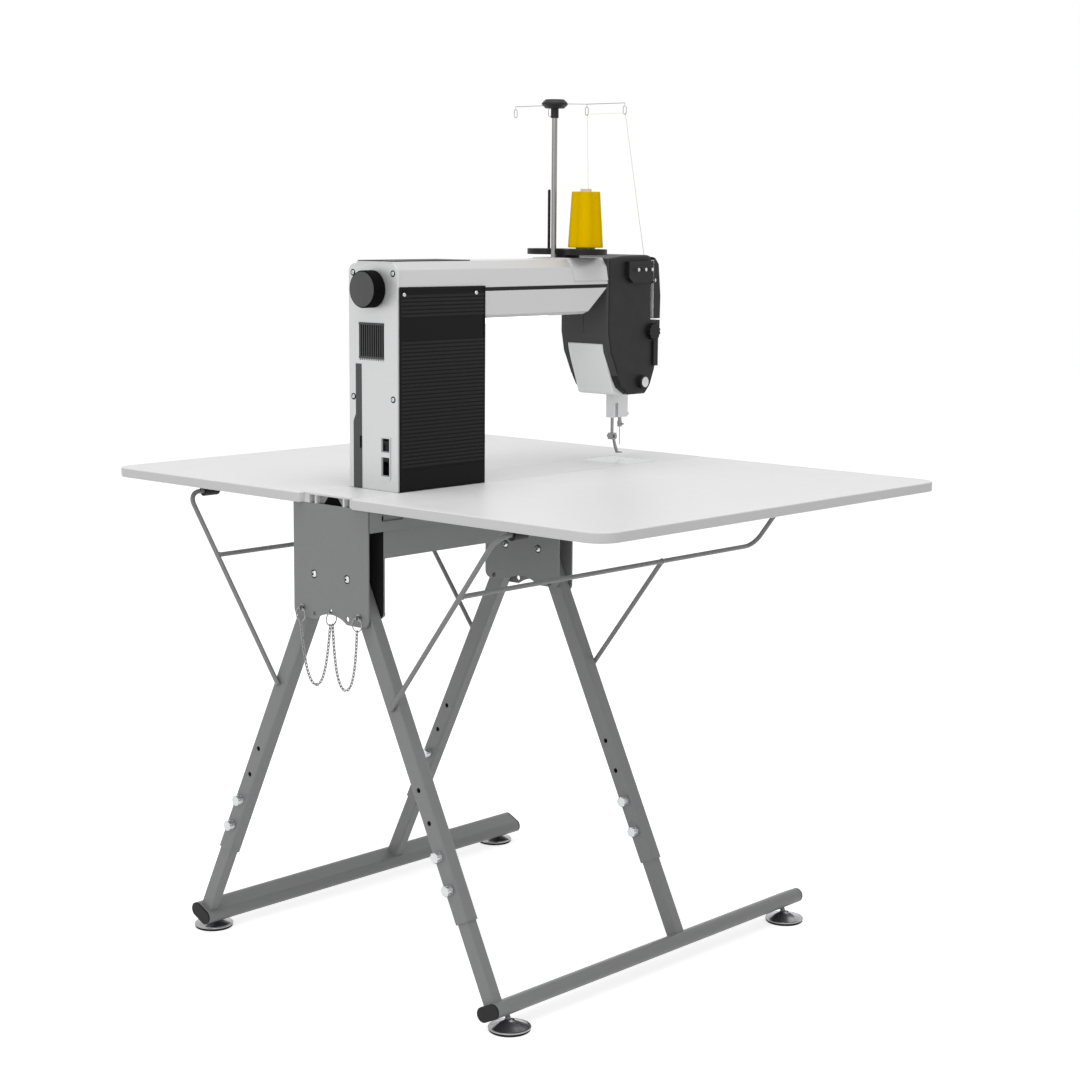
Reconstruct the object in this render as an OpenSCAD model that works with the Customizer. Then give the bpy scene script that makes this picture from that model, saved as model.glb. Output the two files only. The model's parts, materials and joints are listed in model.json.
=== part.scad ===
// Folding sewing table: two drop leaves on a steel stand with splayed folding legs,
// carrying a long-arm sewing machine whose column stands in the slot between the leaves.
// The user sits at -Y, the machine's column stands at +Y, and the floor is z = 0.
// Left is +X and right is -X, as the user on the far side of the photograph has them.

/* [Tabletop] */
// Reach of the left leaf from the machine's middle plane
left_reach = 553; // [480:1:640]
// Reach of the right leaf from the machine's middle plane
right_reach = 585; // [480:1:640]
// Depth of the tabletop, front to back
table_d = 885; // [870:1:980]
// Height of the tabletop above the floor
table_h = 807; // [780:1:860]
// Thickness of the boards
table_t = 16.5; // [12:0.5:22]
// Plan radius of the outer corners
corner_r = 38; // [10:1:80]
// Plan radius of the corners beside the slot
slot_corner_r = 6; // [2:0.5:12]
// Width of the slot between the leaves
slot_w = 120; // [118.6:0.2:124]
// Joint between two boards
board_gap = 0.3; // [0.2:0.1:1]

/* [Stand] */
// Distance from the tabletop's back edge to the back end plate
stand_inset = 13; // [10:0.5:20]
// Distance from the back pair of end plates to the front pair
stand_pitch = 449; // [430:1:470]
// Width of the end plates
plate_w = 176; // [160:1:200]
// Height of the outer end plates
plate_h = 189.5; // [180:0.5:210]
// How much shorter the inner end plates are
inner_plate_cut = 10; // [4:1:16]
// Thickness of the end plates
plate_t = 3; // [2:0.5:5]
// Radius of the end plates' lower corners
plate_r = 13; // [6:1:20]
// Width of the arch in the lower edge
arch_w = 76; // [50:1:80]
// Rise of that arch
arch_h = 12; // [6:1:16]
// Height of the channel beam between the end plates
beam_h = 80.5; // [60:0.5:100]
// Sheet thickness of the beam and its rails
sheet_t = 3; // [2:0.5:4]
// Height of the leaf rails
rail_h = 36.5; // [30:0.5:50]

/* [Legs] */
// Angle that the legs spread from vertical
lean = 25.8; // [15:0.1:32]
// Half the distance between the two leg pivots
pivot_half = 39; // [36:0.5:60]
// Depth of the pivots below the boards
pivot_drop = 115.5; // [100:0.5:130]
// Diameter of the pivot bolts
pivot_d = 10; // [8:0.5:12]
// Width of the outer tube across the leg
tube_w = 30; // [26:0.5:38]
// Depth of the outer tube, front to back
tube_d = 25; // [22:0.5:34]
// Wall of both tubes
tube_wall = 2.5; // [1.5:0.1:3]
// Outside corner radius of the outer tube
tube_r = 4; // [3:0.5:6]
// Running gap round the inner tube
slide_gap = 0.3; // [0.2:0.05:0.8]
// Length of the outer tube below the pivot
outer_len = 570; // [540:5:600]
// Length of inner tube inside the outer one
inner_overlap = 240; // [200:5:300]
// Distance from the pivot to the first height hole
hole_start = 353; // [330:1:380]
// Pitch of the height holes
hole_pitch = 54; // [40:1:60]
// Diameter of the height holes
hole_d = 8.4; // [6:0.2:10]
// Number of height holes in each leg
hole_count = 4; // [4:1:6]
// Number of clamping bolts in the lowest holes
bolt_count = 2; // [1:1:2]
// Distance from the pivot to the hole that the wire support hooks on
hook_reach = 220; // [180:1:260]
// Distance from the pivot to the lock pin
lock_reach = 64.4; // [60:0.2:75]
// Diameter of the lock pins
lock_d = 8; // [6:0.2:9]

/* [Feet] */
// Length of each foot bar
bar_len = 792; // [700:2:860]
// Distance from the back end plate to the foot bars' back ends
bar_set = 5.5; // [0:0.5:30]
// Width of the flat oval bar
bar_w = 48; // [36:1:60]
// Thickness of the flat oval bar
bar_t = 25; // [20:0.5:30]
// Distance from each bar end to its levelling foot
foot_inset = 36; // [20:1:80]
// Diameter of the foot discs
foot_d = 68; // [50:1:76]
// Height of the swivel ball above the floor
ball_z = 12; // [10:0.5:16]
// Diameter of the foot stem
stem_d = 9; // [6:0.5:12]
// Distance from the ball up to the middle of the bar
ankle = 24.4; // [22:0.2:34]

/* [Wire supports] */
// Diameter of the support wire
wire_d = 8; // [5:0.5:10]
// Distance from the slot's middle to the wire's pivot under the leaf
wire_x = 363; // [320:1:400]
// Depth of that pivot below the boards
wire_drop = 13.5; // [11:0.5:18]
// Depth of the cross wire below the boards
cross_drop = 113; // [90:1:140]
// Distance from the tabletop's front edge to the cross wire's front end
cross_inset = 129.5; // [90:0.5:200]
// Length of the clip blocks
clip_len = 30; // [20:1:40]
// Distance from the cross wire's ends to the clips
clip_inset = 32; // [20:1:60]

/* [Machine] */
// Width of the machine's column
column_w = 117.2; // [108:0.2:118]
// Distance from the tabletop's back edge to the column
column_inset = 108.3; // [98:0.1:122]
// Depth of the column
column_d = 199.4; // [180:0.2:210]
// Top of the column's side covers above the tabletop
cover_h = 327; // [300:1:360]
// Underside of the arm above the tabletop
throat_h = 273; // [240:1:300]
// Height of the arm's section
arm_h = 95; // [80:1:110]
// Width of the arm
arm_w = 112; // [100:1:114]
// Share of the tabletop's depth between the column's front face and the needle
throat_share = 0.46983; // [0.43:0.00001:0.48]
// Thickness of the brushed back panel
panel_t = 4.2; // [2:0.2:6]
// Width of the sewing head
head_w = 109; // [100:1:112]
// Width of the light needle housing
nose_w = 84; // [70:1:88]
// Stroke of the needle bar
stroke = 34; // [26:1:36]
// Diameter of the needle bar
needle_bar_d = 7; // [6:0.2:8]
// Diameter of the hopping foot's bar
foot_bar_d = 6; // [5:0.2:7]
// Diameter of the handwheel
wheel_d = 60; // [50:1:70]
// Depth of the handwheel
wheel_t = 24; // [16:1:34]

/* [Thread stand] */
// Height of the thread mast above the arm
mast_h = 265; // [200:1:320]
// Diameter of the thread mast
mast_d = 9.5; // [7:0.5:12]
// Half the distance between the two spool pins
spool_half = 43; // [41:1:55]
// Diameter of each tray lobe
lobe_d = 76; // [60:1:90]
// Diameter of the spool pins
spool_pin_d = 5; // [4:0.2:6]
// Height of the spool pins above the tray
spool_pin_h = 103; // [80:1:120]
// Height of the wound thread on its cone
cone_h = 93; // [60:1:110]
// Diameter of the thread at its foot
cone_d = 60; // [40:1:70]

/* [Chains] */
// Diameter of the chain wire
chain_wire = 1.4; // [1:0.1:1.8]
// Inside length of a link
link_in = 6.4; // [5.5:0.1:9]
// Inside width of a link
link_gap = 2.4; // [2.2:0.1:4]
// Slenderness of the hanging loop: its span over the catenary's own length
chain_slender = 6; // [4:0.1:6.6]
// Mean radius of the key rings
ring_r = 11; // [9:0.5:14]
// Wire diameter of the key rings
ring_wire = 1.8; // [1.4:0.1:2]

/* [Hidden] */
$fn = 64;

// Overrun of every cut, clearance of running shafts and gap to a seat
over = 1;
run_gap = 0.05;
seat_gap = 0.3;

// The machine's middle plane, so that the origin is under the middle of the tabletop
machine_x = (right_reach - left_reach) / 2;
under_z = table_h - table_t;
slot_half = slot_w / 2;
plate_half = plate_w / 2;

// Pivots, and the end plate groups: plate, bracket gap, leg tube, run gap, plate
stand_back = table_d / 2 - stand_inset;
pivot_z = under_z - pivot_drop;
bracket_gap = 5;
leg_gap = 0.5;
leg_faces = [for (i = [0, 1]) stand_back - i * stand_pitch - plate_t - bracket_gap];
far_plates = [for (f = leg_faces) f - tube_d - leg_gap];
front_near = stand_back - stand_pitch;
lock_z = pivot_z - lock_reach * cos(lean);
lock_x = pivot_half + lock_reach * sin(lean);

// Leg lengths, measured down the leg from its pivot
ball_reach = (pivot_z - ball_z) / cos(lean);
bar_reach = ball_reach - ankle;
bar_mid = stand_back - bar_set - bar_len / 2;
inner_w = tube_w - 2 * tube_wall - 2 * slide_gap;
inner_d = tube_d - 2 * tube_wall - 2 * slide_gap;
inner_r = tube_r - tube_wall;
inner_top = outer_len - inner_overlap;

// Leaf hinges, whose axis runs beside the rail
hinge_r = 4.5;
hinge_pin_d = 5;
hinge_x = plate_half + sheet_t + hinge_r + leg_gap;
hinge_z = under_z - hinge_r - leg_gap;
hinge_len = 60;
hinge_shares = [0.86, 0.46, 0.06];
hinge_ys = [for (s = hinge_shares) front_near - plate_t + s * (stand_pitch - tube_d)];
knuckle_len = 15;
hinge_plate_t = 2.5;
hinge_plate_w = 30;

// Wire supports
wire_r = wire_d / 2;
wire_z = under_z - wire_drop;
hook_x = pivot_half + hook_reach * sin(lean);
hook_z = pivot_z - hook_reach * cos(lean);
back_wire_y = leg_faces[0] + seat_gap + wire_r;
front_wire_y = leg_faces[1] - tube_d - seat_gap - wire_r;
cross_z = under_z - cross_drop;
cross_front = table_d / 2 - cross_inset;
cross_x = wire_x - (wire_x - hook_x) * (wire_z - cross_z) / (wire_z - hook_z);
clip_wall = 5;
cross_r = wire_r - 2 * run_gap;
back_clip_y = back_wire_y - clip_inset - clip_len;
front_clip_y = clip_inset - cross_front;

// Machine
column_back = table_d / 2 - column_inset;
column_front = column_back - column_d;
throat_d = table_d * throat_share;
needle_y = column_front - throat_d;
foot_bar_y = needle_y + 21;
throat_z = table_h + throat_h;
arm_top = throat_z + arm_h;
arm_half = arm_w / 2;
column_half = column_w / 2;
head_half = head_w / 2;
bed_w = 100;
bed_t = 48;
bed_front = needle_y - 69;
plate_seat_t = 3;
needle_plate_w = 112;
needle_plate_d = 92;
needle_plate_r = 4;
beam_floor = under_z - beam_h;
ledge_z = under_z - sheet_t;

// A rounded rectangle, centred, as plain squares and circles
module round_rect(w, h, r) {
    square([w - 2 * r, h], center = true);
    square([w, h - 2 * r], center = true);
    for (x = [-1, 1], y = [-1, 1])
        translate([x * (w / 2 - r), y * (h / 2 - r)]) circle(r);
}

// Draws an x-z outline as a slab whose +Y face lies at y
module slab(y, t) {
    translate([0, y, 0]) rotate([90, 0, 0]) linear_extrude(t) children();
}

// Draws a y-z outline as a solid across X, centred on the machine's plane
module across(w) {
    rotate([90, 0, 90]) translate([0, 0, -w / 2]) linear_extrude(w) children();
}

// Moves drawn pieces to the machine's plane, mirrored for the right side
module on_side(side = 1) {
    translate([machine_x, 0, 0]) mirror([side < 0 ? 1 : 0, 0, 0]) children();
}

// A straight round bar between two points
module rod(a, b, r) {
    d = b - a;
    len = norm(d);
    translate(a) rotate([0, acos(d.z / len), atan2(d.y, d.x)]) cylinder(h = len, r = r);
}

// A bent wire through a list of points, with a slight knuckle at each bend
module bent_wire(points, r) {
    for (i = [0 : len(points) - 2]) rod(points[i], points[i + 1], r);
    for (i = [1 : len(points) - 2]) translate(points[i]) sphere(r + run_gap);
}

// Frame of one leg: the origin is its pivot and -Z runs down the leg
module down_leg(face_y) {
    translate([pivot_half, face_y, pivot_z]) rotate([0, -lean, 0]) children();
}

// End plates

module plate_outline(h, top = under_z) {
    arch_r = (pow(arch_w / 2, 2) + pow(arch_h, 2)) / (2 * arch_h);
    difference() {
        union() {
            translate([-plate_half, under_z - h + plate_r])
                square([plate_w, top - under_z + h - plate_r]);
            translate([-plate_half + plate_r, under_z - h])
                square([plate_w - 2 * plate_r, plate_r + over]);
            for (x = [-1, 1])
                translate([x * (plate_half - plate_r), under_z - h + plate_r]) circle(plate_r);
        }
        translate([0, under_z - h - arch_r + arch_h]) circle(arch_r);
        for (x = [-1, 1]) {
            translate([x * pivot_half, pivot_z]) circle(pivot_d / 2 + run_gap);
            translate([x * lock_x, lock_z]) circle(lock_d / 2 + run_gap);
            translate([x * pivot_half, pivot_z - lock_reach]) circle(lock_d / 2 + run_gap);
        }
    }
}

anchor_hole_d = 6;
anchor_z = under_z - plate_h + arch_h + anchor_hole_d;

module back_outer_plate() {
    color("#8c8e90") on_side() difference() {
        slab(stand_back, plate_t) plate_outline(plate_h);
        translate([0, stand_back + over, anchor_z]) rotate([90, 0, 0])
            cylinder(h = plate_t + 2 * over, d = anchor_hole_d);
    }
}

// The lock pins' receiving bushes stand behind the inner plate
bush_len = 15;
bush_wall = 2;

module back_inner_plate() {
    color("#5a5c5e") on_side() {
        slab(far_plates[0], plate_t) plate_outline(plate_h - inner_plate_cut, ledge_z);
        for (x = [-1, 1]) slab(far_plates[0] - plate_t, bush_len) translate([x * lock_x, lock_z])
            difference() {
                circle(lock_d / 2 + bush_wall);
                circle(lock_d / 2 + run_gap);
            }
    }
}

// Front plates, cut out for the machine's bed
module bed_gap() {
    translate([-bed_w / 2 - over, under_z - bed_t - over])
        square([bed_w + 2 * over, bed_t + 2 * over]);
}

module front_inner_plate() {
    color("#8c8e90") on_side() slab(front_near, plate_t) difference() {
        plate_outline(plate_h - inner_plate_cut, ledge_z);
        bed_gap();
    }
}

module front_outer_plate() {
    color("#5a5c5e") on_side() slab(far_plates[1], plate_t) difference() {
        plate_outline(plate_h);
        bed_gap();
    }
}

// Open channel between the inner plates, with lightening slots in its floor
beam_back = far_plates[0] - plate_t;
beam_len = beam_back - front_near;
floor_slot_w = 40;
floor_slot_count = 3;

module beam_channel() {
    color("#56585a") on_side() difference() {
        translate([-plate_half, front_near, beam_floor]) cube([plate_w, beam_len, beam_h]);
        translate([-plate_half + sheet_t, front_near - over, beam_floor + sheet_t])
            cube([plate_w - 2 * sheet_t, beam_len + 2 * over, beam_h]);
        translate([-plate_half - over, front_near - over, under_z - sheet_t])
            cube([plate_w + 2 * over, beam_len + 2 * over, sheet_t + over]);
        for (i = [1 : floor_slot_count])
            translate([0, front_near + i * beam_len / (2 * floor_slot_count + 2), beam_floor - over])
                linear_extrude(sheet_t + 2 * over)
                    round_rect(plate_w / 2, floor_slot_w, floor_slot_w / 2 - over);
    }
}

// Leaf rails: an angle that the boards rest on, with the fixed hinge knuckles
rail_back = stand_back - plate_t;
rail_front = far_plates[1];
rail_len = rail_back - rail_front;
rail_lip = 9;
rail_slot_w = 48;
rail_slot_h = 10;

module hinge_rail() {
    difference() {
        union() {
            translate([plate_half, rail_front, under_z - rail_h]) cube([sheet_t, rail_len, rail_h]);
            translate([slot_half - rail_lip, rail_front, under_z - sheet_t])
                cube([plate_half - slot_half + rail_lip + sheet_t, rail_len, sheet_t]);
        }
        translate([0, column_front - 2 * sheet_t, under_z - sheet_t - over])
            cube([slot_half + over, column_d + 4 * sheet_t, sheet_t + 2 * over]);
        for (y = [rail_back - rail_slot_w, rail_front + rail_slot_w])
            translate([plate_half - over, y, under_z - rail_h / 2 + sheet_t])
                rotate([90, 0, 90]) linear_extrude(sheet_t + 2 * over)
                    round_rect(rail_slot_w, rail_slot_h, rail_slot_h / 2 - over);
    }
    for (y = hinge_ys) {
        for (e = [0, 1]) translate([0, y + (e == 0 ? 0 : hinge_len - knuckle_len), 0]) {
            translate([hinge_x, 0, hinge_z]) rotate([-90, 0, 0])
                cylinder(h = knuckle_len, r = hinge_r);
            translate([plate_half, 0, hinge_z - sheet_t / 2])
                cube([hinge_x - plate_half, knuckle_len, sheet_t]);
        }
        translate([hinge_x, y, hinge_z]) rotate([-90, 0, 0])
            cylinder(h = hinge_len, d = hinge_pin_d);
    }
}

module hinge_rails() {
    color("#56585a") for (side = [-1, 1]) on_side(side) hinge_rail();
}

// Button-head pivot bolts, each through both plates of its group
head_d = 17;
head_t = 4.5;
socket_d = 6;
nut_d = 17;
nut_t = 7;

module pivot_bolt(i) {
    near = stand_back - i * stand_pitch;
    far = far_plates[i] - plate_t;
    difference() {
        union() {
            translate([0, near, 0]) rotate([-90, 0, 0]) rotate_extrude()
                intersection() {
                    translate([0, head_t - head_d / 2 - over]) circle(head_d / 2 + over);
                    square([head_d / 2, head_t]);
                }
            translate([0, far, 0]) rotate([-90, 0, 0]) cylinder(h = near - far, d = pivot_d);
            translate([0, far, 0]) rotate([90, 0, 0]) cylinder(h = nut_t, d = nut_d, $fn = 6);
        }
        translate([0, near + head_t / 3, 0]) rotate([-90, 0, 0])
            cylinder(h = head_t, d = socket_d, $fn = 6);
    }
}

module pivot_bolts() {
    color("#c9cbcc") for (side = [-1, 1], i = [0, 1])
        on_side(side) translate([pivot_half, 0, pivot_z]) pivot_bolt(i);
}

// Boards in the slot, behind and in front of the column
insert_w = slot_w - 2 * board_gap;
notch_shares = [-0.44, -0.32, 0.34, 0.44];
notch_depth = 24;
rib_t = 2.4;
skin_t = 4;

module back_insert() {
    len = table_d / 2 - column_back - seat_gap;
    color("#e9eaea") on_side() difference() {
        translate([-insert_w / 2, column_back + seat_gap, under_z]) cube([insert_w, len, table_t]);
        // Hollow back edge with ribs, and the cable notch in its middle
        for (i = [0 : len(notch_shares) - 2]) {
            a = notch_shares[i] * insert_w + rib_t / 2;
            b = notch_shares[i + 1] * insert_w - rib_t / 2;
            translate([0, table_d / 2 - notch_depth, under_z - over])
                linear_extrude(table_t - skin_t + over)
                    polygon([
                        [a + rib_t, 0], [b - rib_t, 0],
                        [b, notch_depth + over], [a, notch_depth + over]
                    ]);
        }
    }
}

module front_insert() {
    len = column_front - seat_gap + table_d / 2;
    color("#e9eaea") on_side() difference() {
        translate([-insert_w / 2, -table_d / 2, under_z]) cube([insert_w, len, table_t]);
        translate([0, needle_y, under_z - over]) linear_extrude(table_t + 2 * over)
            round_rect(needle_plate_w, needle_plate_d, needle_plate_r);
    }
}

// Chains: links spaced by arc length along a catenary, so each has its own place
module key_ring() {
    rotate([90, 0, 0]) rotate_extrude() translate([ring_r, 0]) circle(d = ring_wire, $fn = 24);
}

link_r = (link_gap + chain_wire) / 2;
link_straight = link_in + chain_wire - 2 * link_r;
chain_play = 0.25;

// One oval link, its length along X and its width along Y
module link() {
    for (e = [-1, 1]) {
        translate([e * link_straight / 2, 0, 0]) rotate([0, 0, -e * 90]) rotate_extrude(angle = 180)
            translate([link_r, 0]) circle(d = chain_wire, $fn = 16);
        translate([-link_straight / 2, e * link_r, 0]) rotate([0, 90, 0])
            cylinder(h = link_straight, d = chain_wire, $fn = 16);
    }
}

pin_ring_y = stand_back + 5;
anchor_ring_y = stand_back - plate_t / 2;
anchor_ring_z = anchor_z - anchor_hole_d / 2 + ring_wire / 2 + seat_gap - ring_r;
pin_ring_z = lock_z - ring_r;
chain_side = (link_gap + 2 * chain_wire + seat_gap) / 2;
ring_lift = 0.15;
chain_a = lock_x / chain_slender;
chain_s = chain_a * (exp(chain_slender / 2) - exp(-chain_slender / 2)) / 2;
chain_end = link_in / 2 - ring_wire / 2 - chain_play / 2;
chain_links = 2 * ceil((chain_s - chain_end) / (link_in - chain_play) + 0.5);
chain_pitch = 2 * (chain_s - chain_end) / (chain_links - 1);
function chain_x(s) = chain_a * ln(s / chain_a + sqrt(pow(s / chain_a, 2) + 1));
function chain_z(s) = sqrt(pow(chain_a, 2) + pow(s, 2)) - sqrt(pow(chain_a, 2) + pow(chain_s, 2));

module chain(anchor_y) {
    low_a = pin_ring_z - ring_r;
    low_b = anchor_ring_z - sqrt(pow(ring_r, 2) - pow(chain_side, 2)) + ring_lift;
    for (i = [0 : chain_links - 1]) {
        s = -chain_s + chain_end + i * chain_pitch;
        share = (s + chain_s) / (2 * chain_s);
        translate([
            lock_x / 2 + chain_x(s),
            anchor_y + share * (pin_ring_y - anchor_y),
            chain_z(s) + low_b + share * (low_a - low_b)
        ])
            rotate([0, -atan2(s, chain_a), 0]) rotate([90 - i % 2 * 90, 0, 0]) link();
    }
}

// The anchor ring runs through the hole above the arch; both chains hang from it
module left_chain() {
    color("#b9bbbd") on_side() {
        chain(anchor_ring_y + chain_side);
        translate([0, anchor_ring_y, anchor_ring_z]) rotate([0, 0, 90]) key_ring();
    }
}

module right_chain() {
    color("#b9bbbd") on_side(-1) chain(anchor_ring_y - chain_side);
}

// Machine: bed and needle plate

bed_wall = 6;

module bed_casting() {
    color("#6a6c6e") on_side() difference() {
        translate([-bed_w / 2, bed_front, under_z - bed_t])
            cube([bed_w, column_front - bed_front, bed_t]);
        translate([-bed_w / 2 + bed_wall, bed_front + bed_wall, under_z - bed_t - over])
            cube([bed_w - 2 * bed_wall, column_front - bed_front - 2 * bed_wall, bed_t - bed_wall + over]);
        translate([0, needle_y, under_z - bed_wall - over]) linear_extrude(bed_wall + 2 * over)
            round_rect(hook_window, hook_window, needle_plate_r);
    }
}

hook_window = 46;
stitch_hole_d = 6;

module needle_plate() {
    color("#c6c8ca") on_side() translate([0, needle_y, 0]) difference() {
        translate([0, 0, under_z]) linear_extrude(table_t)
            round_rect(needle_plate_w - 2 * board_gap, needle_plate_d - 2 * board_gap, needle_plate_r);
        translate([0, 0, under_z - over]) linear_extrude(table_t - plate_seat_t + over)
            round_rect(needle_plate_w - 2 * bed_wall, needle_plate_d - 2 * bed_wall, needle_plate_r);
        translate([0, 0, under_z]) cylinder(h = table_t + over, d = stitch_hole_d);
    }
}

hook_d = 38;
hook_t = 16;
hook_drop = 30;

module bobbin_hook() {
    color("#b9bbbd") on_side() translate([0, bed_front + bed_wall, under_z - hook_drop]) {
        rotate([-90, 0, 0]) cylinder(h = bed_wall, d = hook_d / 3);
        translate([0, bed_wall, 0]) rotate([-90, 0, 0]) difference() {
            cylinder(h = hook_t, d = hook_d);
            translate([0, 0, hook_t / 3]) cylinder(h = hook_t, d = hook_d - hook_t / 2);
        }
        translate([0, bed_wall, 0]) rotate([-90, 0, 0]) cylinder(h = hook_t, d = hook_d / 3);
    }
}

// Machine: column

core_w = 104;
core_wall = 5;
panel_front = column_back - panel_t;
inlet_x = -29.8;
inlet_w = 20;
inlet_h = 68;
inlet_z = table_h + 52.5;
inlet_r = 2.5;
inlet_deep = 18;
vent_count = 11;
vent_pitch = 5.4;
vent_w = 2.6;
vent_h = 60;
vent_x = 3.5;
vent_z = throat_z - 34;

module column_core() {
    color("#d4d6d8") on_side() difference() {
        translate([-core_w / 2, column_front, beam_floor + sheet_t])
            cube([core_w, panel_front - column_front, throat_z - beam_floor - sheet_t]);
        translate([-core_w / 2 + core_wall, column_front + core_wall, beam_floor])
            cube([core_w - 2 * core_wall, panel_front - column_front - 2 * core_wall,
                throat_z - beam_floor + over]);
        translate([vent_x - vent_h / 2, panel_front - core_wall - over, vent_z - vent_h / 2])
            cube([vent_h, core_wall + 2 * over, vent_h]);
        translate([inlet_x - inlet_w / 2 - run_gap, panel_front - core_wall - over,
            inlet_z - inlet_h / 2 - run_gap])
            cube([inlet_w + 2 * run_gap, core_wall + 2 * over, inlet_h + 2 * run_gap]);
    }
}

panel_half = 56.4;
panel_r = 14;
panel_rise = 91;
axle_d = 12;
axle_z = throat_z + 51;
status_hole_d = 3;

module panel_outline() {
    top = throat_z + panel_rise;
    difference() {
        union() {
            translate([-panel_half, table_h + seat_gap])
                square([2 * panel_half, top - panel_r - table_h - seat_gap]);
            translate([-panel_half + panel_r, top - panel_r - over])
                square([2 * (panel_half - panel_r), panel_r + over]);
            for (x = [-1, 1]) translate([x * (panel_half - panel_r), top - panel_r]) circle(panel_r);
        }
        translate([0, axle_z]) circle(axle_d / 2 + run_gap);
        translate([inlet_x, inlet_z]) round_rect(inlet_w, inlet_h, inlet_r);
        for (i = [0 : vent_count - 1])
            translate([vent_x + (i - (vent_count - 1) / 2) * vent_pitch, vent_z])
                round_rect(vent_w, vent_h, vent_w / 2 - run_gap);
        translate([panel_half - 22, table_h + 173]) circle(d = status_hole_d);
    }
}

module back_panel() {
    color("#d6d8da") on_side() slab(column_back, panel_t) panel_outline();
}

// Side covers with horizontal ribs, and a plain band behind a badge left bare
rib_pitch = 8;
rib_h = 4.6;
rib_out = 1;
cover_top = table_h + cover_h;
badge_low = 0.76;
badge_high = 0.86;
rib_rows = floor((cover_h - 2 * rib_pitch) / rib_pitch);

module side_covers() {
    color("#1c1c1e") for (side = [-1, 1]) on_side(side) {
        translate([core_w / 2, column_front, table_h + board_gap])
            cube([column_half - rib_out - core_w / 2, column_d - panel_t, cover_h - board_gap]);
        for (i = [0 : rib_rows - 1]) {
            z = (i + 1.5) * rib_pitch;
            if (z / cover_h < badge_low || z / cover_h > badge_high)
                translate([column_half - rib_out - rib_out / 2, column_front, table_h + z])
                    cube([1.5 * rib_out, column_d - panel_t, rib_h]);
        }
    }
}

screw_d = 6.4;
screw_t = 1.6;
screw_inset = 10;
side_screw_drop = 11;

module screw_head() {
    difference() {
        cylinder(h = screw_t, d1 = screw_d, d2 = screw_d * 0.72);
        translate([0, 0, screw_t / 2]) cylinder(h = screw_t, d = screw_d * 0.4, $fn = 6);
    }
}

module panel_screws() {
    color("#aeb0b2") {
        for (x = [-1, 1], z = [throat_z + panel_rise - screw_inset - panel_r / 3, table_h + 149])
            on_side() translate([x * (panel_half - screw_inset), column_back, z])
                rotate([-90, 0, 0]) screw_head();
        for (side = [-1, 1], y = [column_back - 14, column_front + 21])
            on_side(side) translate([column_half - rib_out, y, cover_top - side_screw_drop])
                rotate([0, 90, 0]) screw_head();
    }
}

// Inlet body: a recessed socket below, and the frame of the switch above it
socket_wall = 2.6;
socket_h = 27;
rocker_h = 20;
rocker_z = inlet_z + inlet_h / 2 - socket_wall - rocker_h / 2;
socket_z = inlet_z - inlet_h / 2 + socket_wall + socket_h / 2;
blade_w = 2;
blade_h = 4.6;
blade_pitch = 4.6;

module power_inlet() {
    inner_w = inlet_w - 2 * socket_wall;
    color("#18181a") on_side() translate([inlet_x, column_back + over, 0]) {
        difference() {
            slab(0, inlet_deep + over)
                translate([0, inlet_z]) round_rect(inlet_w - run_gap, inlet_h - run_gap, inlet_r);
            slab(over, inlet_deep - socket_wall) translate([0, socket_z])
                round_rect(inner_w, socket_h, socket_wall);
            slab(over, inlet_deep - socket_wall) translate([0, rocker_z])
                square([inner_w, rocker_h], center = true);
        }
        for (p = [[-1, 1], [0, -1], [1, 1]])
            translate([p.x * blade_pitch - blade_w / 2, -inlet_deep + socket_wall - over,
                socket_z + p.y * blade_h / 2 - blade_h / 2])
                cube([blade_w, inlet_deep * 0.6, blade_h]);
        translate([-inner_w / 2 - over / 2, -rocker_deep, rocker_z]) rotate([0, 90, 0])
            cylinder(h = inner_w + over, d = rocker_pin_d);
    }
}

rocker_deep = 7;
rocker_pin_d = 3;
rocker_tilt = 8;

// The rocker rests with its lower end pressed in
module rocker_switch() {
    w = inlet_w - 2 * socket_wall - 2 * seat_gap;
    h = rocker_h / 2 - 2 * seat_gap;
    color("#222224") on_side() translate([inlet_x, column_back + over - rocker_deep, rocker_z])
        rotate([-rocker_tilt, 0, 0]) difference() {
            across(w) polygon([
                [-rocker_pin_d, -h * 0.6], [-rocker_pin_d, h * 0.6], [rocker_deep * 0.4, h * 0.94],
                [rocker_deep * 0.9, h * 0.94], [rocker_deep * 0.6, 0],
                [rocker_deep * 0.9, -h * 0.94], [rocker_deep * 0.4, -h * 0.94]
            ]);
            translate([-w / 2 - over, 0, 0]) rotate([0, 90, 0])
                cylinder(h = w + 2 * over, d = rocker_pin_d + 2 * run_gap);
        }
}

module handwheel() {
    r = wheel_d / 2;
    color("#1a1a1c") on_side() translate([0, column_back + seat_gap, axle_z]) rotate([-90, 0, 0]) {
        rotate_extrude($fn = 96) difference() {
            polygon([
                [0, 0], [r - 2, 0], [r, 2], [r, wheel_t - 4], [r - 4, wheel_t],
                [r * 0.62, wheel_t], [r * 0.56, wheel_t - 1.2], [0, wheel_t - 1.2]
            ]);
            for (s = [0.25, 0.5, 0.75]) translate([r, s * wheel_t - 1]) square([2, 2], center = true);
        }
        translate([0, 0, -panel_t - 2 * axle_d]) cylinder(h = panel_t + 2 * axle_d + over, d = axle_d);
    }
}

// Machine: arm

arm_shares = [
    [0.86, 0], [1, 0.055], [1, 0.47], [0.965, 0.48], [0.965, 0.52], [1, 0.55], [0.9, 0.86], [0.72, 1]
];
cavity_shares = [[0.78, 0.07], [0.9, 0.13], [0.88, 0.8], [0.66, 0.93]];
nose_lean = 58;
arm_cut_z = throat_z + arm_h / 2;
arm_end = needle_y + 103;
cover_lap = seat_gap;

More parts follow.
